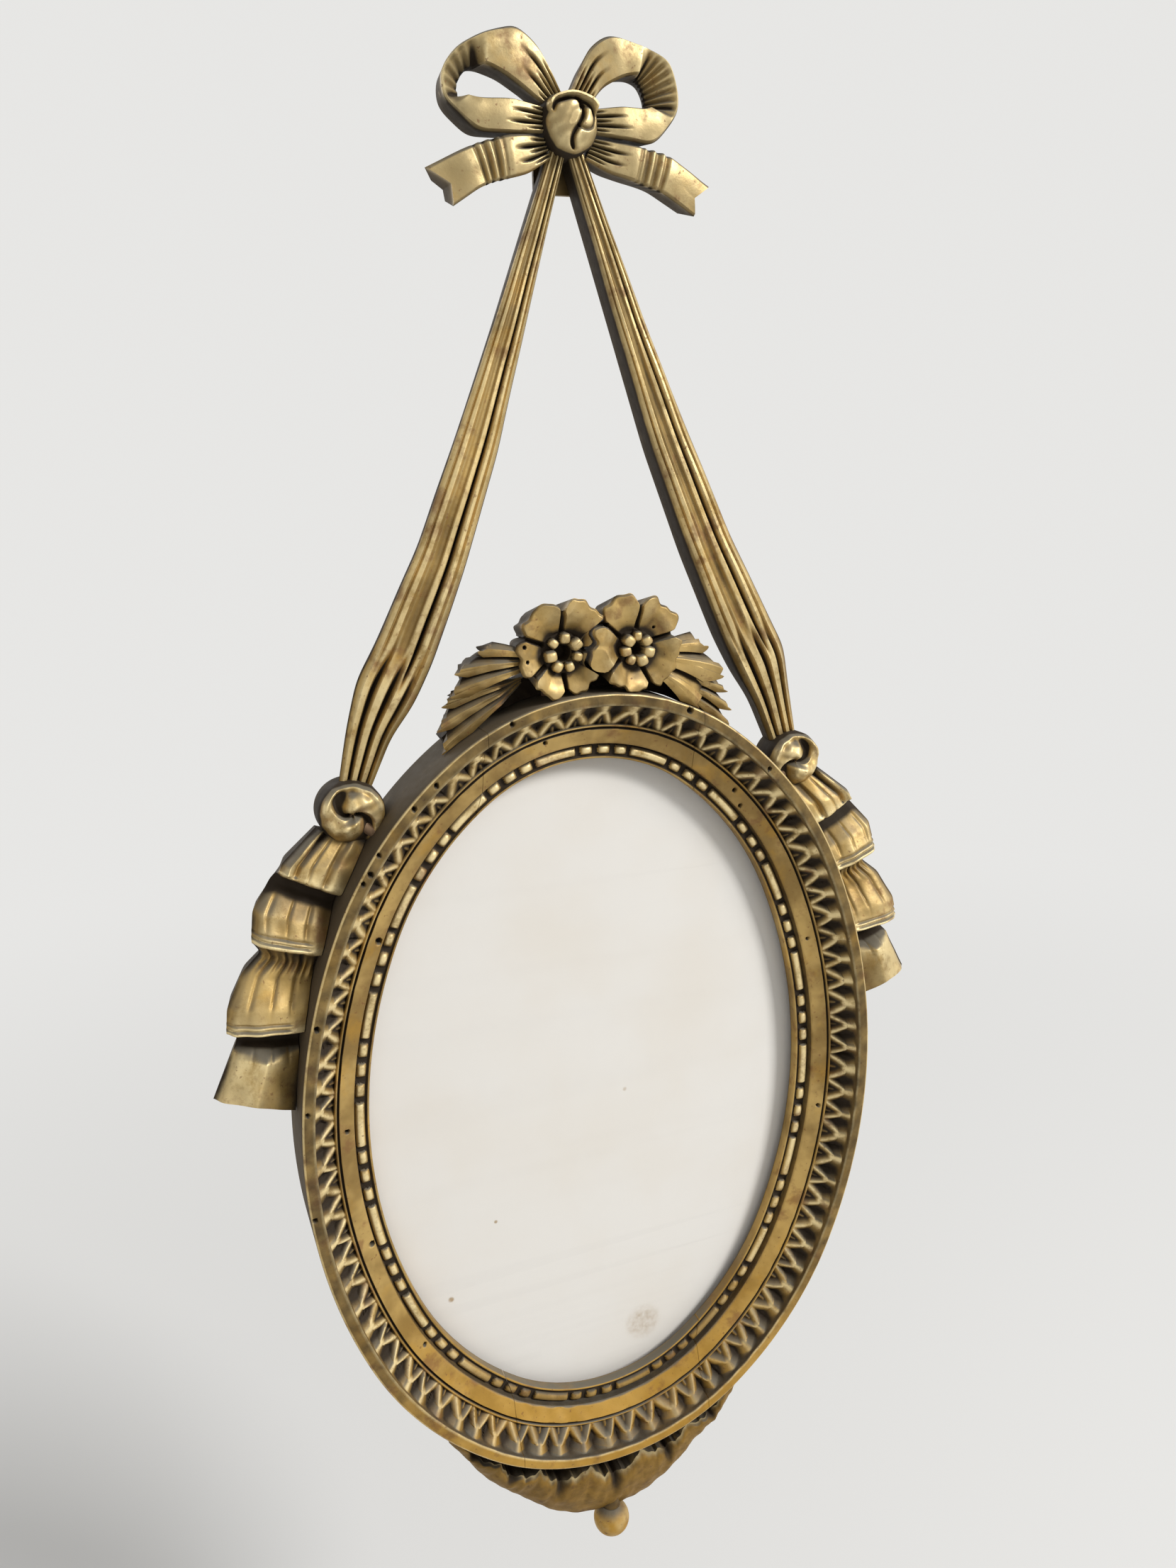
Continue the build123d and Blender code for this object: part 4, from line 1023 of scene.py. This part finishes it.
# Side tails: height at which each station meets the rail, and the outer edge point
RIBBON = (
    (76.5, (66.5, 80.5)), (70.5, (74.9, 73.6)), (64.5, (75.8, 71.6)), (62.3, (77.6, 69.6)),
    (57.5, (82.4, 63.5)), (51.5, (83.5, 56.3)), (47.6, (81.4, 52.4)), (44.5, (86.2, 48.4)),
    (38.5, (90.3, 41.0)), (33.3, (91.1, 35.0)), (29.6, (88.4, 31.8)), (27.8, (89.8, 30.0)),
    (12.6, (95.4, 18.8)),
)
RIBBON_HEIGHTS = (0.52, 0.80, 0.86, 0.44, 0.80, 1.00, 0.62, 0.66, 0.90, 1.00, 0.42, 0.68, 0.72)
# Stations at the waves' lips, at the waist between the waves, and at the flared end
LIPS = (2, 5, 9)
WAIST = 6
FLARE = 11
LIP_DROP = 0.30
# Cuts: place across or before the lip, depth, which is below zero for a ridge, and half width
FAN_LINES = ((0.24, 0.5, 0.03), (0.50, 0.4, 0.02), (0.78, 0.5, 0.03))
LIP_LINES = ((0.018, 0.55, 0.005), (0.036, 0.45, 0.005))
NECK_LINES = ((0.90, -1.6, 0.06), (0.78, 1.2, 0.04), (0.30, 0.8, 0.05))

RAIL_EDGE = oval(np.linspace(1, 179, 400), RAIL_WIDTH + SEAT_GAP)


def rail_edge(z):
    """X of the rail's outer wall at a height."""
    return float(np.interp(-z, -RAIL_EDGE[1], RAIL_EDGE[0]))


def lines(across, cuts):
    """Depth of cuts that run side by side."""
    return sum(depth * bump(across, line, width) for line, depth, width in cuts)


def tail_wave(u, marks):
    """Height of the ribbon along its waves, with a steep drop after each lip."""
    knots, heights = list(marks), list(RIBBON_HEIGHTS)
    for lip in reversed(LIPS):
        knots.insert(lip + 1, marks[lip] + LIP_DROP * (marks[lip + 1] - marks[lip]))
        heights.insert(lip + 1, RIBBON_HEIGHTS[lip + 1] + 0.06)
    return along(u, knots, heights, 0.006)


def tail_cuts(u, v, marks, wave, waist):
    """Depth of the cuts: a fan on each slope, lines before the lips, pleats at the waist and neck."""
    slope = smoothstep(0.50, 0.66, wave) * fade(0.82, 0.98, wave)
    cuts = lines(v + 0.25 * (u - 0.5), FAN_LINES) * slope * fade(0.80, 0.86, u)
    for lip in LIPS[1:]:
        cuts = cuts + lines(marks[lip] - u, LIP_LINES) * smoothstep(0.10, 0.25, v)
    neck = fade(marks[LIPS[0]] - 0.02, marks[LIPS[0]], u)
    return cuts + 0.3 * waist * (1 + np.cos(2 * pi * 8 * v)) + neck * lines(v, NECK_LINES)


def side_tail(side, side_name):
    """Fluttering ribbon beside the rail: swelling waves that drop from a lip into a folded recess darkened
    with painted shade.
    """
    stations = [((rail_edge(inner_z), inner_z), outer) for inner_z, outer in RIBBON]
    x, z, u, v, marks = ribbon(stations, side, rows=380, columns=72, corner=1.2)
    wave = tail_wave(u, marks)
    waist = bump(u, marks[WAIST] + 0.01, 0.035)
    end = smoothstep(marks[FLARE] - 0.02, marks[FLARE] + 0.03, u)
    roof = tent(v - 0.5, 0.5)
    crown = 1 - 0.10 * (2 * v - 1) ** 2 - 0.06 * v - 0.16 * smoothstep(0.84, 1.0, v) ** 2
    depth = ORNAMENT_BACK + TAIL_DEPTH * wave * crown - tail_cuts(u, v, marks, wave, waist)
    depth = depth + end * 3.4 * roof + 0.18 * ripple(u * 60, v * 17, 7.0, 41 + side)
    z = z + smoothstep(marks[FLARE], 1.0, u) * 1.6 * roof
    shades = shades_of(x, z, depth, reach=2.4, strength=2.2)
    # Painted shade in the recess after each lip, lighter at the waist; on the flared end, painted shade on
    # the inner facet.
    fold_shade = 0.55 * fade(0.46, 0.62, wave) + 0.22 * fade(0.55, 0.95, wave)
    inner_facet_shade = 0.30 * end * fade(0.44, 0.54, v)
    add_shade(shades, CAVITY, fold_shade * (1 - 0.6 * waist) * (1 - end) + inner_facet_shade)
    # Painted highlights along the lips and on the flared end's outer facet.
    for lip in LIPS:
        add_shade(shades, HIGHLIGHT, 0.7 * bump(u, marks[lip] - 0.008, 0.012))
    add_shade(shades, HIGHLIGHT, 0.5 * end * smoothstep(0.5, 0.62, v))
    part = shell(x, z, depth, shades, undercut=0.075, anchor=0.0)
    carve(f"side_tail_{side_name}", part, sharp=40)


# Crest: for each petal its direction, lift, reach, tilt, dirt with painted shade, and the dent in its edge
PETALS = {-1: (60, 127, 186, 240, 306), 1: (58, 114, 171, 248, 337)}
PETAL_LIFTS = {-1: (0.5, 0.1, -0.5, 0.3, -0.7), 1: (-0.3, 0.2, 1.3, 0.3, -0.6)}
PETAL_REACHES = {-1: (1.12, 1.12, 1.02, 0.96, 0.94), 1: (1.12, 1.18, 1.10, 0.92, 1.0)}
PETAL_TILTS = np.array((0.9, -0.8, 0.9, -1.0, 0.8))
PETAL_DIRT_AND_SHADE = {-1: (0.15, 0.29, 0.35, 0.23, 0.25), 1: (0.21, 0.21, 0.11, 0.17, 0.25)}
PETAL_DENTS = {-1: (0.02, 0.07, 0.05, 0.03, 0.09), 1: (0.05, 0.02, 0.10, 0.06, 0.07)}
PETAL_DIP = radians(15)
STAMENS = 7
STAMEN_RING = {-1: 3.5, 1: 3.0}
STAMEN_RADIUS = 1.35
STAMEN_TURN = 0.3
EYE_RADIUS = {-1: 2.2, 1: 1.6}
# Worm holes in the flowers: place and diameter
FLOWER_HOLES = {
    -1: ((-17.4, 119.6, 0.9), (-16.9, 116.2, 0.8)),
    1: ((2.9, 123.4, 1.1), (15.4, 122.0, 0.7)),
}


def clear_of_rail(x, z):
    """Points moved out to the rail's wall where they would lie in it, near the top of the oval."""
    limit = end_radius + RAIL_WIDTH + SEAT_GAP
    grow = np.maximum(limit / np.hypot(x, z - end_z), 1)
    return x * grow, end_z + (z - end_z) * grow


def of_petal(table, side, pick):
    """Value of each point's petal."""
    return np.array(table[side])[pick]


def petal_share(angle, side):
    """Turn from the middle of the nearest petal, its number, and the turn left to its edge."""
    middles = np.radians(PETALS[side])
    away = np.stack([np.angle(np.exp(1j * (angle - middle))) for middle in middles])
    order = np.argsort(np.abs(away), axis=0)
    near, far = (np.take_along_axis(away, order[i:i + 1], axis=0)[0] for i in (0, 1))
    return near, order[0], (np.abs(far) - np.abs(near)) / 2


def petal_reach(angle, side):
    """Radius of a flower's outline: broad petals with rounded corners and an uneven edge."""
    near, pick, room = petal_share(angle, side)
    dip = 1 - 0.20 * fade(0, PETAL_DIP, room) ** 1.5
    uneven = 1 + 0.030 * np.sin(9 * near + 2 * pick) + 0.014 * np.sin(23 * angle)
    dent = 1 - of_petal(PETAL_DENTS, side, pick) * bump(near, 0.08 * np.sin(2 * pick), 0.14)
    return FLOWER_RADIUS * of_petal(PETAL_REACHES, side, pick) * dip * dent * uneven


def clear_of_right(angle):
    """Radius of the left flower's outline where the right flower's petals leave it room."""
    reach = petal_reach(angle, -1)
    steps = np.linspace(0.4, 1.0, 80)
    radii = reach * steps
    apart = np.subtract(FLOWER_SPOTS[1], FLOWER_SPOTS[-1])
    x, z = radii * np.cos(angle) - apart[0], radii * np.sin(angle) - apart[1]
    inside = np.hypot(x, z) < petal_reach(np.arctan2(z, x), 1) + SEAT_GAP
    first = np.where(inside.any(axis=1), np.argmax(inside, axis=1), len(steps) - 1)
    return reach * steps[first][:, None]


def flower_heart(r, angle, side):
    """Height of the uneven ring of blocky stamens round the eye, and the stamens' own roundness."""
    number = np.round(STAMENS * (angle + STAMEN_TURN) / (2 * pi))
    turn = angle + STAMEN_TURN - number * 2 * pi / STAMENS
    kind = np.sin(2.1 * (number % STAMENS) + side)
    outward = np.abs(r * np.cos(turn) - STAMEN_RING[side])
    away = np.cbrt(outward**3 + np.abs(1.1 * r * np.sin(turn)) ** 3)
    bead = rounded(away, STAMEN_RADIUS * (1 + 0.14 * kind))
    eye = fade(0.6 * EYE_RADIUS[side], EYE_RADIUS[side], r)
    return 13.7 + (2.7 + 0.5 * kind) * bead**0.28 - 3.2 * eye, bead


def flower(side, side_name):
    """Five broad dished petals round a ring of stamens and an eye darkened with painted shade."""
    outline = clear_of_right if side < 0 else lambda angle: petal_reach(angle, 1)
    r, angle, share = disc(360, 76, outline)
    spot_x, spot_z = FLOWER_SPOTS[side]
    x, z = clear_of_rail(spot_x + r * np.cos(angle), spot_z + r * np.sin(angle))
    near, pick, room = petal_share(angle, side)
    reach = r / FLOWER_RADIUS
    petal = 13.6 + 2.5 * smoothstep(0.33, 0.90, reach)
    petal = petal + of_petal(PETAL_LIFTS, side, pick) * smoothstep(0.3, 0.7, reach)
    petal = petal + PETAL_TILTS[pick] * near * 2.2 * reach + 0.9 * np.abs(near) * reach
    petal = petal - 1.7 * fade(0.10, 0.8, room * r) * smoothstep(0.36, 0.46, reach)
    petal = petal - 0.6 * smoothstep(0.95, 1.0, share) + 0.12 * ripple(x, z, 5.0, 51 + side)
    heart, bead = flower_heart(r, angle, side)
    heart_radius = STAMEN_RING[side] + 0.9 * STAMEN_RADIUS
    middle = fade(heart_radius, heart_radius + 0.4, r)
    depth = petal * (1 - middle) + heart * middle
    hole = worm_holes(x, z, FLOWER_HOLES[side])
    depth = ORNAMENT_BACK + np.minimum(depth, FLOWER_DEPTH) - 1.2 * hole
    eye = EYE_RADIUS[side]
    # Painted shade in the eye, between the stamens and towards the petals' roots; dirt and painted shade on
    # each petal.
    dark = 0.9 * fade(0.7 * eye, eye, r) + 0.55 * middle * (bead < 0.2)
    petal_dirt_and_shade = 0.25 * fade(0.36, 0.55, reach) + of_petal(PETAL_DIRT_AND_SHADE, side, pick)
    dark = dark + (1 - middle) * petal_dirt_and_shade
    shades = shades_of(x, z, depth, True, 1.3, 1.5, cavity=dark, hole=hole)
    shades[..., HIGHLIGHT] *= 0.5
    carve(f"flower_{side_name}", shell(x, z, depth, shades, closed=True, undercut=0.28), sharp=45)


# Crest leaves: root and the lobes' tips from the top one down
UPPER_LEAF = {
    -1: ((10.0, 116.0), ((25.8, 119.8), (32.4, 115.4), (34.2, 110.4))),
    1: ((10.0, 116.0), ((28.4, 117.2), (35.0, 110.2), (28.4, 102.6))),
}
LOWER_LEAF = {
    -1: ((14.0, 112.0), ((35.2, 107.8), (37.0, 102.4), (36.6, 96.8))),
    1: ((16.0, 111.0), ((36.2, 105.0), (37.6, 100.4), (38.2, 95.2))),
}
UPPER_HEIGHTS = (13.0, 18.5)
LOWER_HEIGHTS = (10.5, 15.5)
LOBE_TIP = 0.22
GROUND_TURNS = (0.4, 35)
GROUND_DEPTH = 5.5


def lobe_reach(across):
    """Share of a lobe's length across it: a pointed tip off its middle, and teeth."""
    beyond = (across - LOBE_TIP) / (0.5 - LOBE_TIP)
    before = (LOBE_TIP - across) / (0.5 + LOBE_TIP)
    from_tip = np.where(across > LOBE_TIP, beyond, before)
    return 1.04 - 0.13 * from_tip**1.3 - 0.05 * ((3 * across + 0.5) % 1.0)


def fan_leaf(leaf, side, heights, seed):
    """Leaf of broad pointed lobes that spread from its root, each over the next one down."""
    (root_x, root_z), tips = leaf[side]
    away = np.subtract(tips, (root_x, root_z))
    count = len(tips)
    lobes = np.arange(count)
    row = np.linspace(-0.48, count - 0.52, 48 * count)[:, None]
    share = np.linspace(0.10, 1, 64)[None, :]
    turns = np.arctan2(away[:, 1], away[:, 0])
    slope = (turns[-1] - turns[0]) / (count - 1)
    turn = np.interp(row, lobes, turns)
    turn = turn + slope * (np.minimum(row, 0) + np.maximum(row - count + 1, 0))
    turn = turn + 0.05 * np.sin(pi * share)
    lobe = np.clip(np.round(row), 0, count - 1)
    across = row - lobe
    reach = np.interp(row, lobes, np.hypot(*away.T)) * lobe_reach(across) * share
    x, z = clear_of_rail(root_x + reach * np.cos(turn), root_z + reach * np.sin(turn))
    rise = np.sin(pi * (0.12 + 0.62 * share))
    spread = smoothstep(0.12, 0.45, share)
    depth = heights[0] + (heights[1] - heights[0]) * rise
    depth = depth + (1.5 * across + 1.2 * tent(across, 0.5)) * spread
    depth = depth - 0.3 * lobe + 0.10 * ripple(x, z, 4.0, seed)
    x = side * x
    # Painted shadow along each lobe's upper side, where the lobe above lies over it.
    under = 0.25 * bump(across, -0.47, 0.06) * spread
    shades = shades_of(x, z, depth, reach=1.2, strength=1.7, cavity=0.16 + under)
    shades[..., HIGHLIGHT] *= 0.5
    return shell(x, z, depth, shades, undercut=0.4)


def crest_ground(side):
    """Ground that closes the gap between the crest and the rail, darkened with painted shade."""
    turn = np.linspace(*GROUND_TURNS, 90)[:, None]
    v = np.linspace(0, 1, 14)[None, :]
    x, z = oval(turn + 0 * v, RAIL_WIDTH + SEAT_GAP + (7.0 - 0.14 * turn) * v)
    depth = ORNAMENT_BACK + GROUND_DEPTH + 0.25 * ripple(x, z, 3.0, 66)
    # Painted shade over the whole ground.
    return shell(side * x, z, depth, shades_of(x, z, depth, cavity=0.7))


def crest_leaf(side, side_name):
    """Two leaves beside the flowers: an upper one over one that lies along the rail."""
    upper = fan_leaf(UPPER_LEAF, side, UPPER_HEIGHTS, 61 + side)
    lower = fan_leaf(LOWER_LEAF, side, LOWER_HEIGHTS, 71 + side)
    carve(f"crest_leaf_{side_name}", crest_ground(side), lower, upper, sharp=45)


# Pendant: lower edge as turn from the middle and width, then the jagged upper edge as turn and
# distance from the rail, tips and clefts in turn
PENDANT_WIDTHS = (
    (0, 23.2), (7, 22.4), (12, 20.2), (17, 17.0), (22.5, 13.8), (27, 12.0), (34, 9.0), (41, 6.0), (43, 3.0),
)
PENDANT_TIPS = (
    (0, 9.4), (1.7, 7.2), (2.7, 8.0), (6.9, 3.0), (10.6, 6.4), (11.5, 5.6), (13.7, 8.4), (15.4, 5.8),
    (16.3, 6.4), (20.5, 2.8), (23.6, 5.2), (24.4, 4.6), (27.0, 6.2), (32.0, 2.2), (35.0, 3.6), (37.5, 4.2),
    (41.0, 1.4), (43.0, 2.4),
)
PENDANT_CLEFTS = np.array((0, 13.7, 27.0, 37.5))
PENDANT_END = 42.6
PENDANT_GROUND = 9.0
PENDANT_LAP = 0.3
GROUND_COLUMNS = 10


def pendant_leaf():
    """Cup of leaf lobes under the rail: their tips point up to it over a ground darkened with painted
    shade.
    """
    turn = np.linspace(-PENDANT_END, PENDANT_END, 480)[:, None]
    away = np.abs(turn)
    width = np.interp(away, *zip(*PENDANT_WIDTHS))
    top = np.interp(away, *zip(*PENDANT_TIPS)) + 0.25 * np.sin(turn * 2.7)
    ground = np.linspace(0, 1, GROUND_COLUMNS)[None, :]
    leaf = np.linspace(0, 1, 46)[None, :]
    ground_offset = top * ground - PENDANT_LAP * (1 - ground)
    offset = np.hstack([ground_offset, top + 0.25 + (width - top - 0.25) * leaf])
    x, z = oval(180 + turn + 0 * offset, RAIL_WIDTH + SEAT_GAP + offset)
    room = np.min(np.abs(away[..., None] - PENDANT_CLEFTS), axis=-1)
    cleft = bump(room, 0, 1.1) * fade(0.10, 0.60, leaf)
    swell = PENDANT_DEPTH * (0.97 - 0.36 * leaf**2.2) - 0.9 * bump(leaf, 0, 0.10)
    front = ORNAMENT_BACK + swell - 1.5 * cleft + 0.5 * bump(room, 5.0, 2.5) * (1 - leaf)
    front = front - 3.5 * smoothstep(30, 42, away)
    depth = np.hstack([PENDANT_GROUND + 0 * turn * ground, front]) + 0.16 * ripple(x, z, 5.0, 81)
    shades = np.zeros((*x.shape, 4))
    # Painted shade on the ground and in the clefts, a darker tone on the lobes, and a painted highlight
    # along their upper edge.
    shades[:, :GROUND_COLUMNS, CAVITY] = 0.9
    shades[:, GROUND_COLUMNS:, CAVITY] = 0.46 + 0.25 * cleft
    shades[:, GROUND_COLUMNS:, HIGHLIGHT] = 0.9 * bump(leaf, 0.02, 0.05)
    carve("pendant_leaf", shell(x, z, depth, shades, undercut=0.125, anchor=0.0))


def pendant_ball():
    """Turned ball on its neck."""
    ball_z = -(HALF_HEIGHT + RAIL_WIDTH + 2 * SEAT_GAP + PENDANT_DROP + BALL_RADIUS)
    rows, columns = 64, 48
    angle = np.linspace(0, 2 * pi, rows, endpoint=False)[:, None]
    t = np.linspace(0.0, 1.0, columns)[None, :]
    polar = pi * (1 - t * BALL_SPAN)
    neck = t > NECK_START
    radius = np.where(neck, NECK_RADIUS, BALL_RADIUS * np.sin(polar)) + 0 * angle
    height = np.where(neck, BALL_RADIUS + NECK_RISE, BALL_RADIUS * np.cos(polar)) + 0 * angle
    x, z = radius * np.cos(angle), ball_z + height
    depth = ORNAMENT_BACK + BALL_DEPTH + radius * np.sin(angle)
    faces = grid_faces(rows, columns, wrap_rows=True)
    faces.append(list(range(columns - 1, rows * columns, columns)))
    worn = np.clip(0.5 + 0.5 * ripple(x, z, 4.0, 91), 0, 1)
    zero = np.zeros_like(x)
    # Painted shade over the ball's top and neck, under the pendant leaf; random bright wear all over.
    shades = np.stack([np.where(height > NECK_SHADE_LOW, 0.6, 0.28), 0.4 * worn, zero, zero], axis=-1)
    points = np.stack([x, depth, z], axis=-1).reshape(-1, 3)
    new_piece("pendant_ball", points, faces, shades.reshape(-1, 4))


rail("rail_top", lambda o: -joint_turn(o), joint_turn)
rail("rail_right", joint_turn, lambda o: 180 - joint_turn(o))
rail("rail_bottom", lambda o: 180 - joint_turn(o), lambda o: 180 + joint_turn(o))
rail("rail_left", lambda o: 180 + joint_turn(o), lambda o: 360 - joint_turn(o))
bow_knot()
pendant_leaf()
pendant_ball()
for side, side_name in SIDES:
    for ornament in (strap, bow_loop, bow_tail, side_knot, side_tail, flower, crest_leaf):
        ornament(side, side_name)


# Stage, light and camera
FLOOR_GAP = 0.12
FLOOR_REACH = 12.0
FLOOR_FADE = (0.15, 1.1)
PALE = (0.80, 0.795, 0.78)
FILL = 0.45
MIDDLE = (0, 0, CENTRE_Z + 0.06)
# Camera: x, depth and z in millimetres, then its angles, solved from the photograph
CAMERA_PLACE = (-101.86, 282.36, 155.41)
CAMERA_TURN = radians(20.68)
CAMERA_TILT = radians(13.96)
CAMERA_ROLL = radians(1.73)
FOCAL_PX = 1699.0
IMAGE_HEIGHT_PX = 2212.0
SENSOR_MM = 36.0

scene = bpy.context.scene
scene.view_settings.view_transform = "Standard"


def add_object(name, data):
    """New object in the scene."""
    thing = bpy.data.objects.new(name, data)
    scene.collection.objects.link(thing)
    return thing


def background_strength(graph):
    """Full strength where the background is seen or mirrored, less where it only lights the object."""
    path = graph.nodes.new("ShaderNodeLightPath")
    rays = ("Is Camera Ray", "Is Glossy Ray", "Is Transmission Ray")
    seen = graph.most(*(path.outputs[ray] for ray in rays))
    return graph.plus(graph.times(seen, 1 - FILL), FILL)


def pale_floor():
    """Pale floor that takes the object's shadow and fades into the background further out."""
    level = cad_box[0].z - FLOOR_GAP
    reach = FLOOR_REACH
    corners = [(x * reach, y * reach, level) for x, y in ((-1, -1), (1, -1), (1, 1), (-1, 1))]
    mesh = bpy.data.meshes.new("floor")
    mesh.from_pydata(corners, [], [(0, 1, 2, 3)])
    graph = new_material("pale_floor")
    mesh.materials.append(graph.finish(Base_Color=PALE, Roughness=0.95, Specular_IOR_Level=0.0))
    glow = graph.add("Emission", "Emission", {"Color": PALE, "Strength": background_strength(graph)})
    far = graph.ramp(graph.away(graph.place(), (0, 0, level)), *FLOOR_FADE)
    blend = graph.add("MixShader", "Shader", {0: far, 1: graph.shader.outputs["BSDF"], 2: glow})
    graph.feed(graph.nodes["Material Output"].inputs["Surface"], blend)
    floor = add_object("floor", mesh)


def studio_world():
    """Even pale background."""
    scene.world = bpy.data.worlds.new("studio")
    scene.world.use_nodes = True
    graph = Graph(scene.world.node_tree)
    backdrop = graph.nodes["Background"]
    graph.feed(backdrop.inputs["Color"], PALE)
    graph.feed(backdrop.inputs["Strength"], background_strength(graph))


def lamp(name, spot, size, power):
    """Soft square lamp aimed at the object's middle."""
    light = bpy.data.lights.new(name, "AREA")
    light.shape = "SQUARE"
    light.size = size
    light.energy = power
    aim = Vector(MIDDLE) - Vector(spot)
    lamp_object = add_object(name, light)
    lamp_object.location = spot
    lamp_object.rotation_euler = aim.to_track_quat("-Z", "Y").to_euler()


def photo_camera():
    """Camera where the photograph was taken from."""
    data = bpy.data.cameras.new("camera")
    data.sensor_width = SENSOR_MM
    data.lens = FOCAL_PX / IMAGE_HEIGHT_PX * SENSOR_MM
    data.clip_start = 0.01
    camera = add_object("camera", data)
    spot = Vector(place(np.array([CAMERA_PLACE]))[0])
    turned = (
        Matrix.Rotation(-CAMERA_TURN, 4, "Z")
        @ Matrix.Rotation(radians(90) - CAMERA_TILT, 4, "X")
        @ Matrix.Rotation(-CAMERA_ROLL, 4, "Z")
    )
    camera.matrix_world = Matrix.Translation(spot) @ turned
    scene.camera = camera


pale_floor()
studio_world()
lamp("key", (1.2, -1.2, CENTRE_Z + 1.2), size=0.6, power=37)
lamp("back", (-0.6, 1.4, CENTRE_Z + 0.9), size=1.0, power=8)
photo_camera()
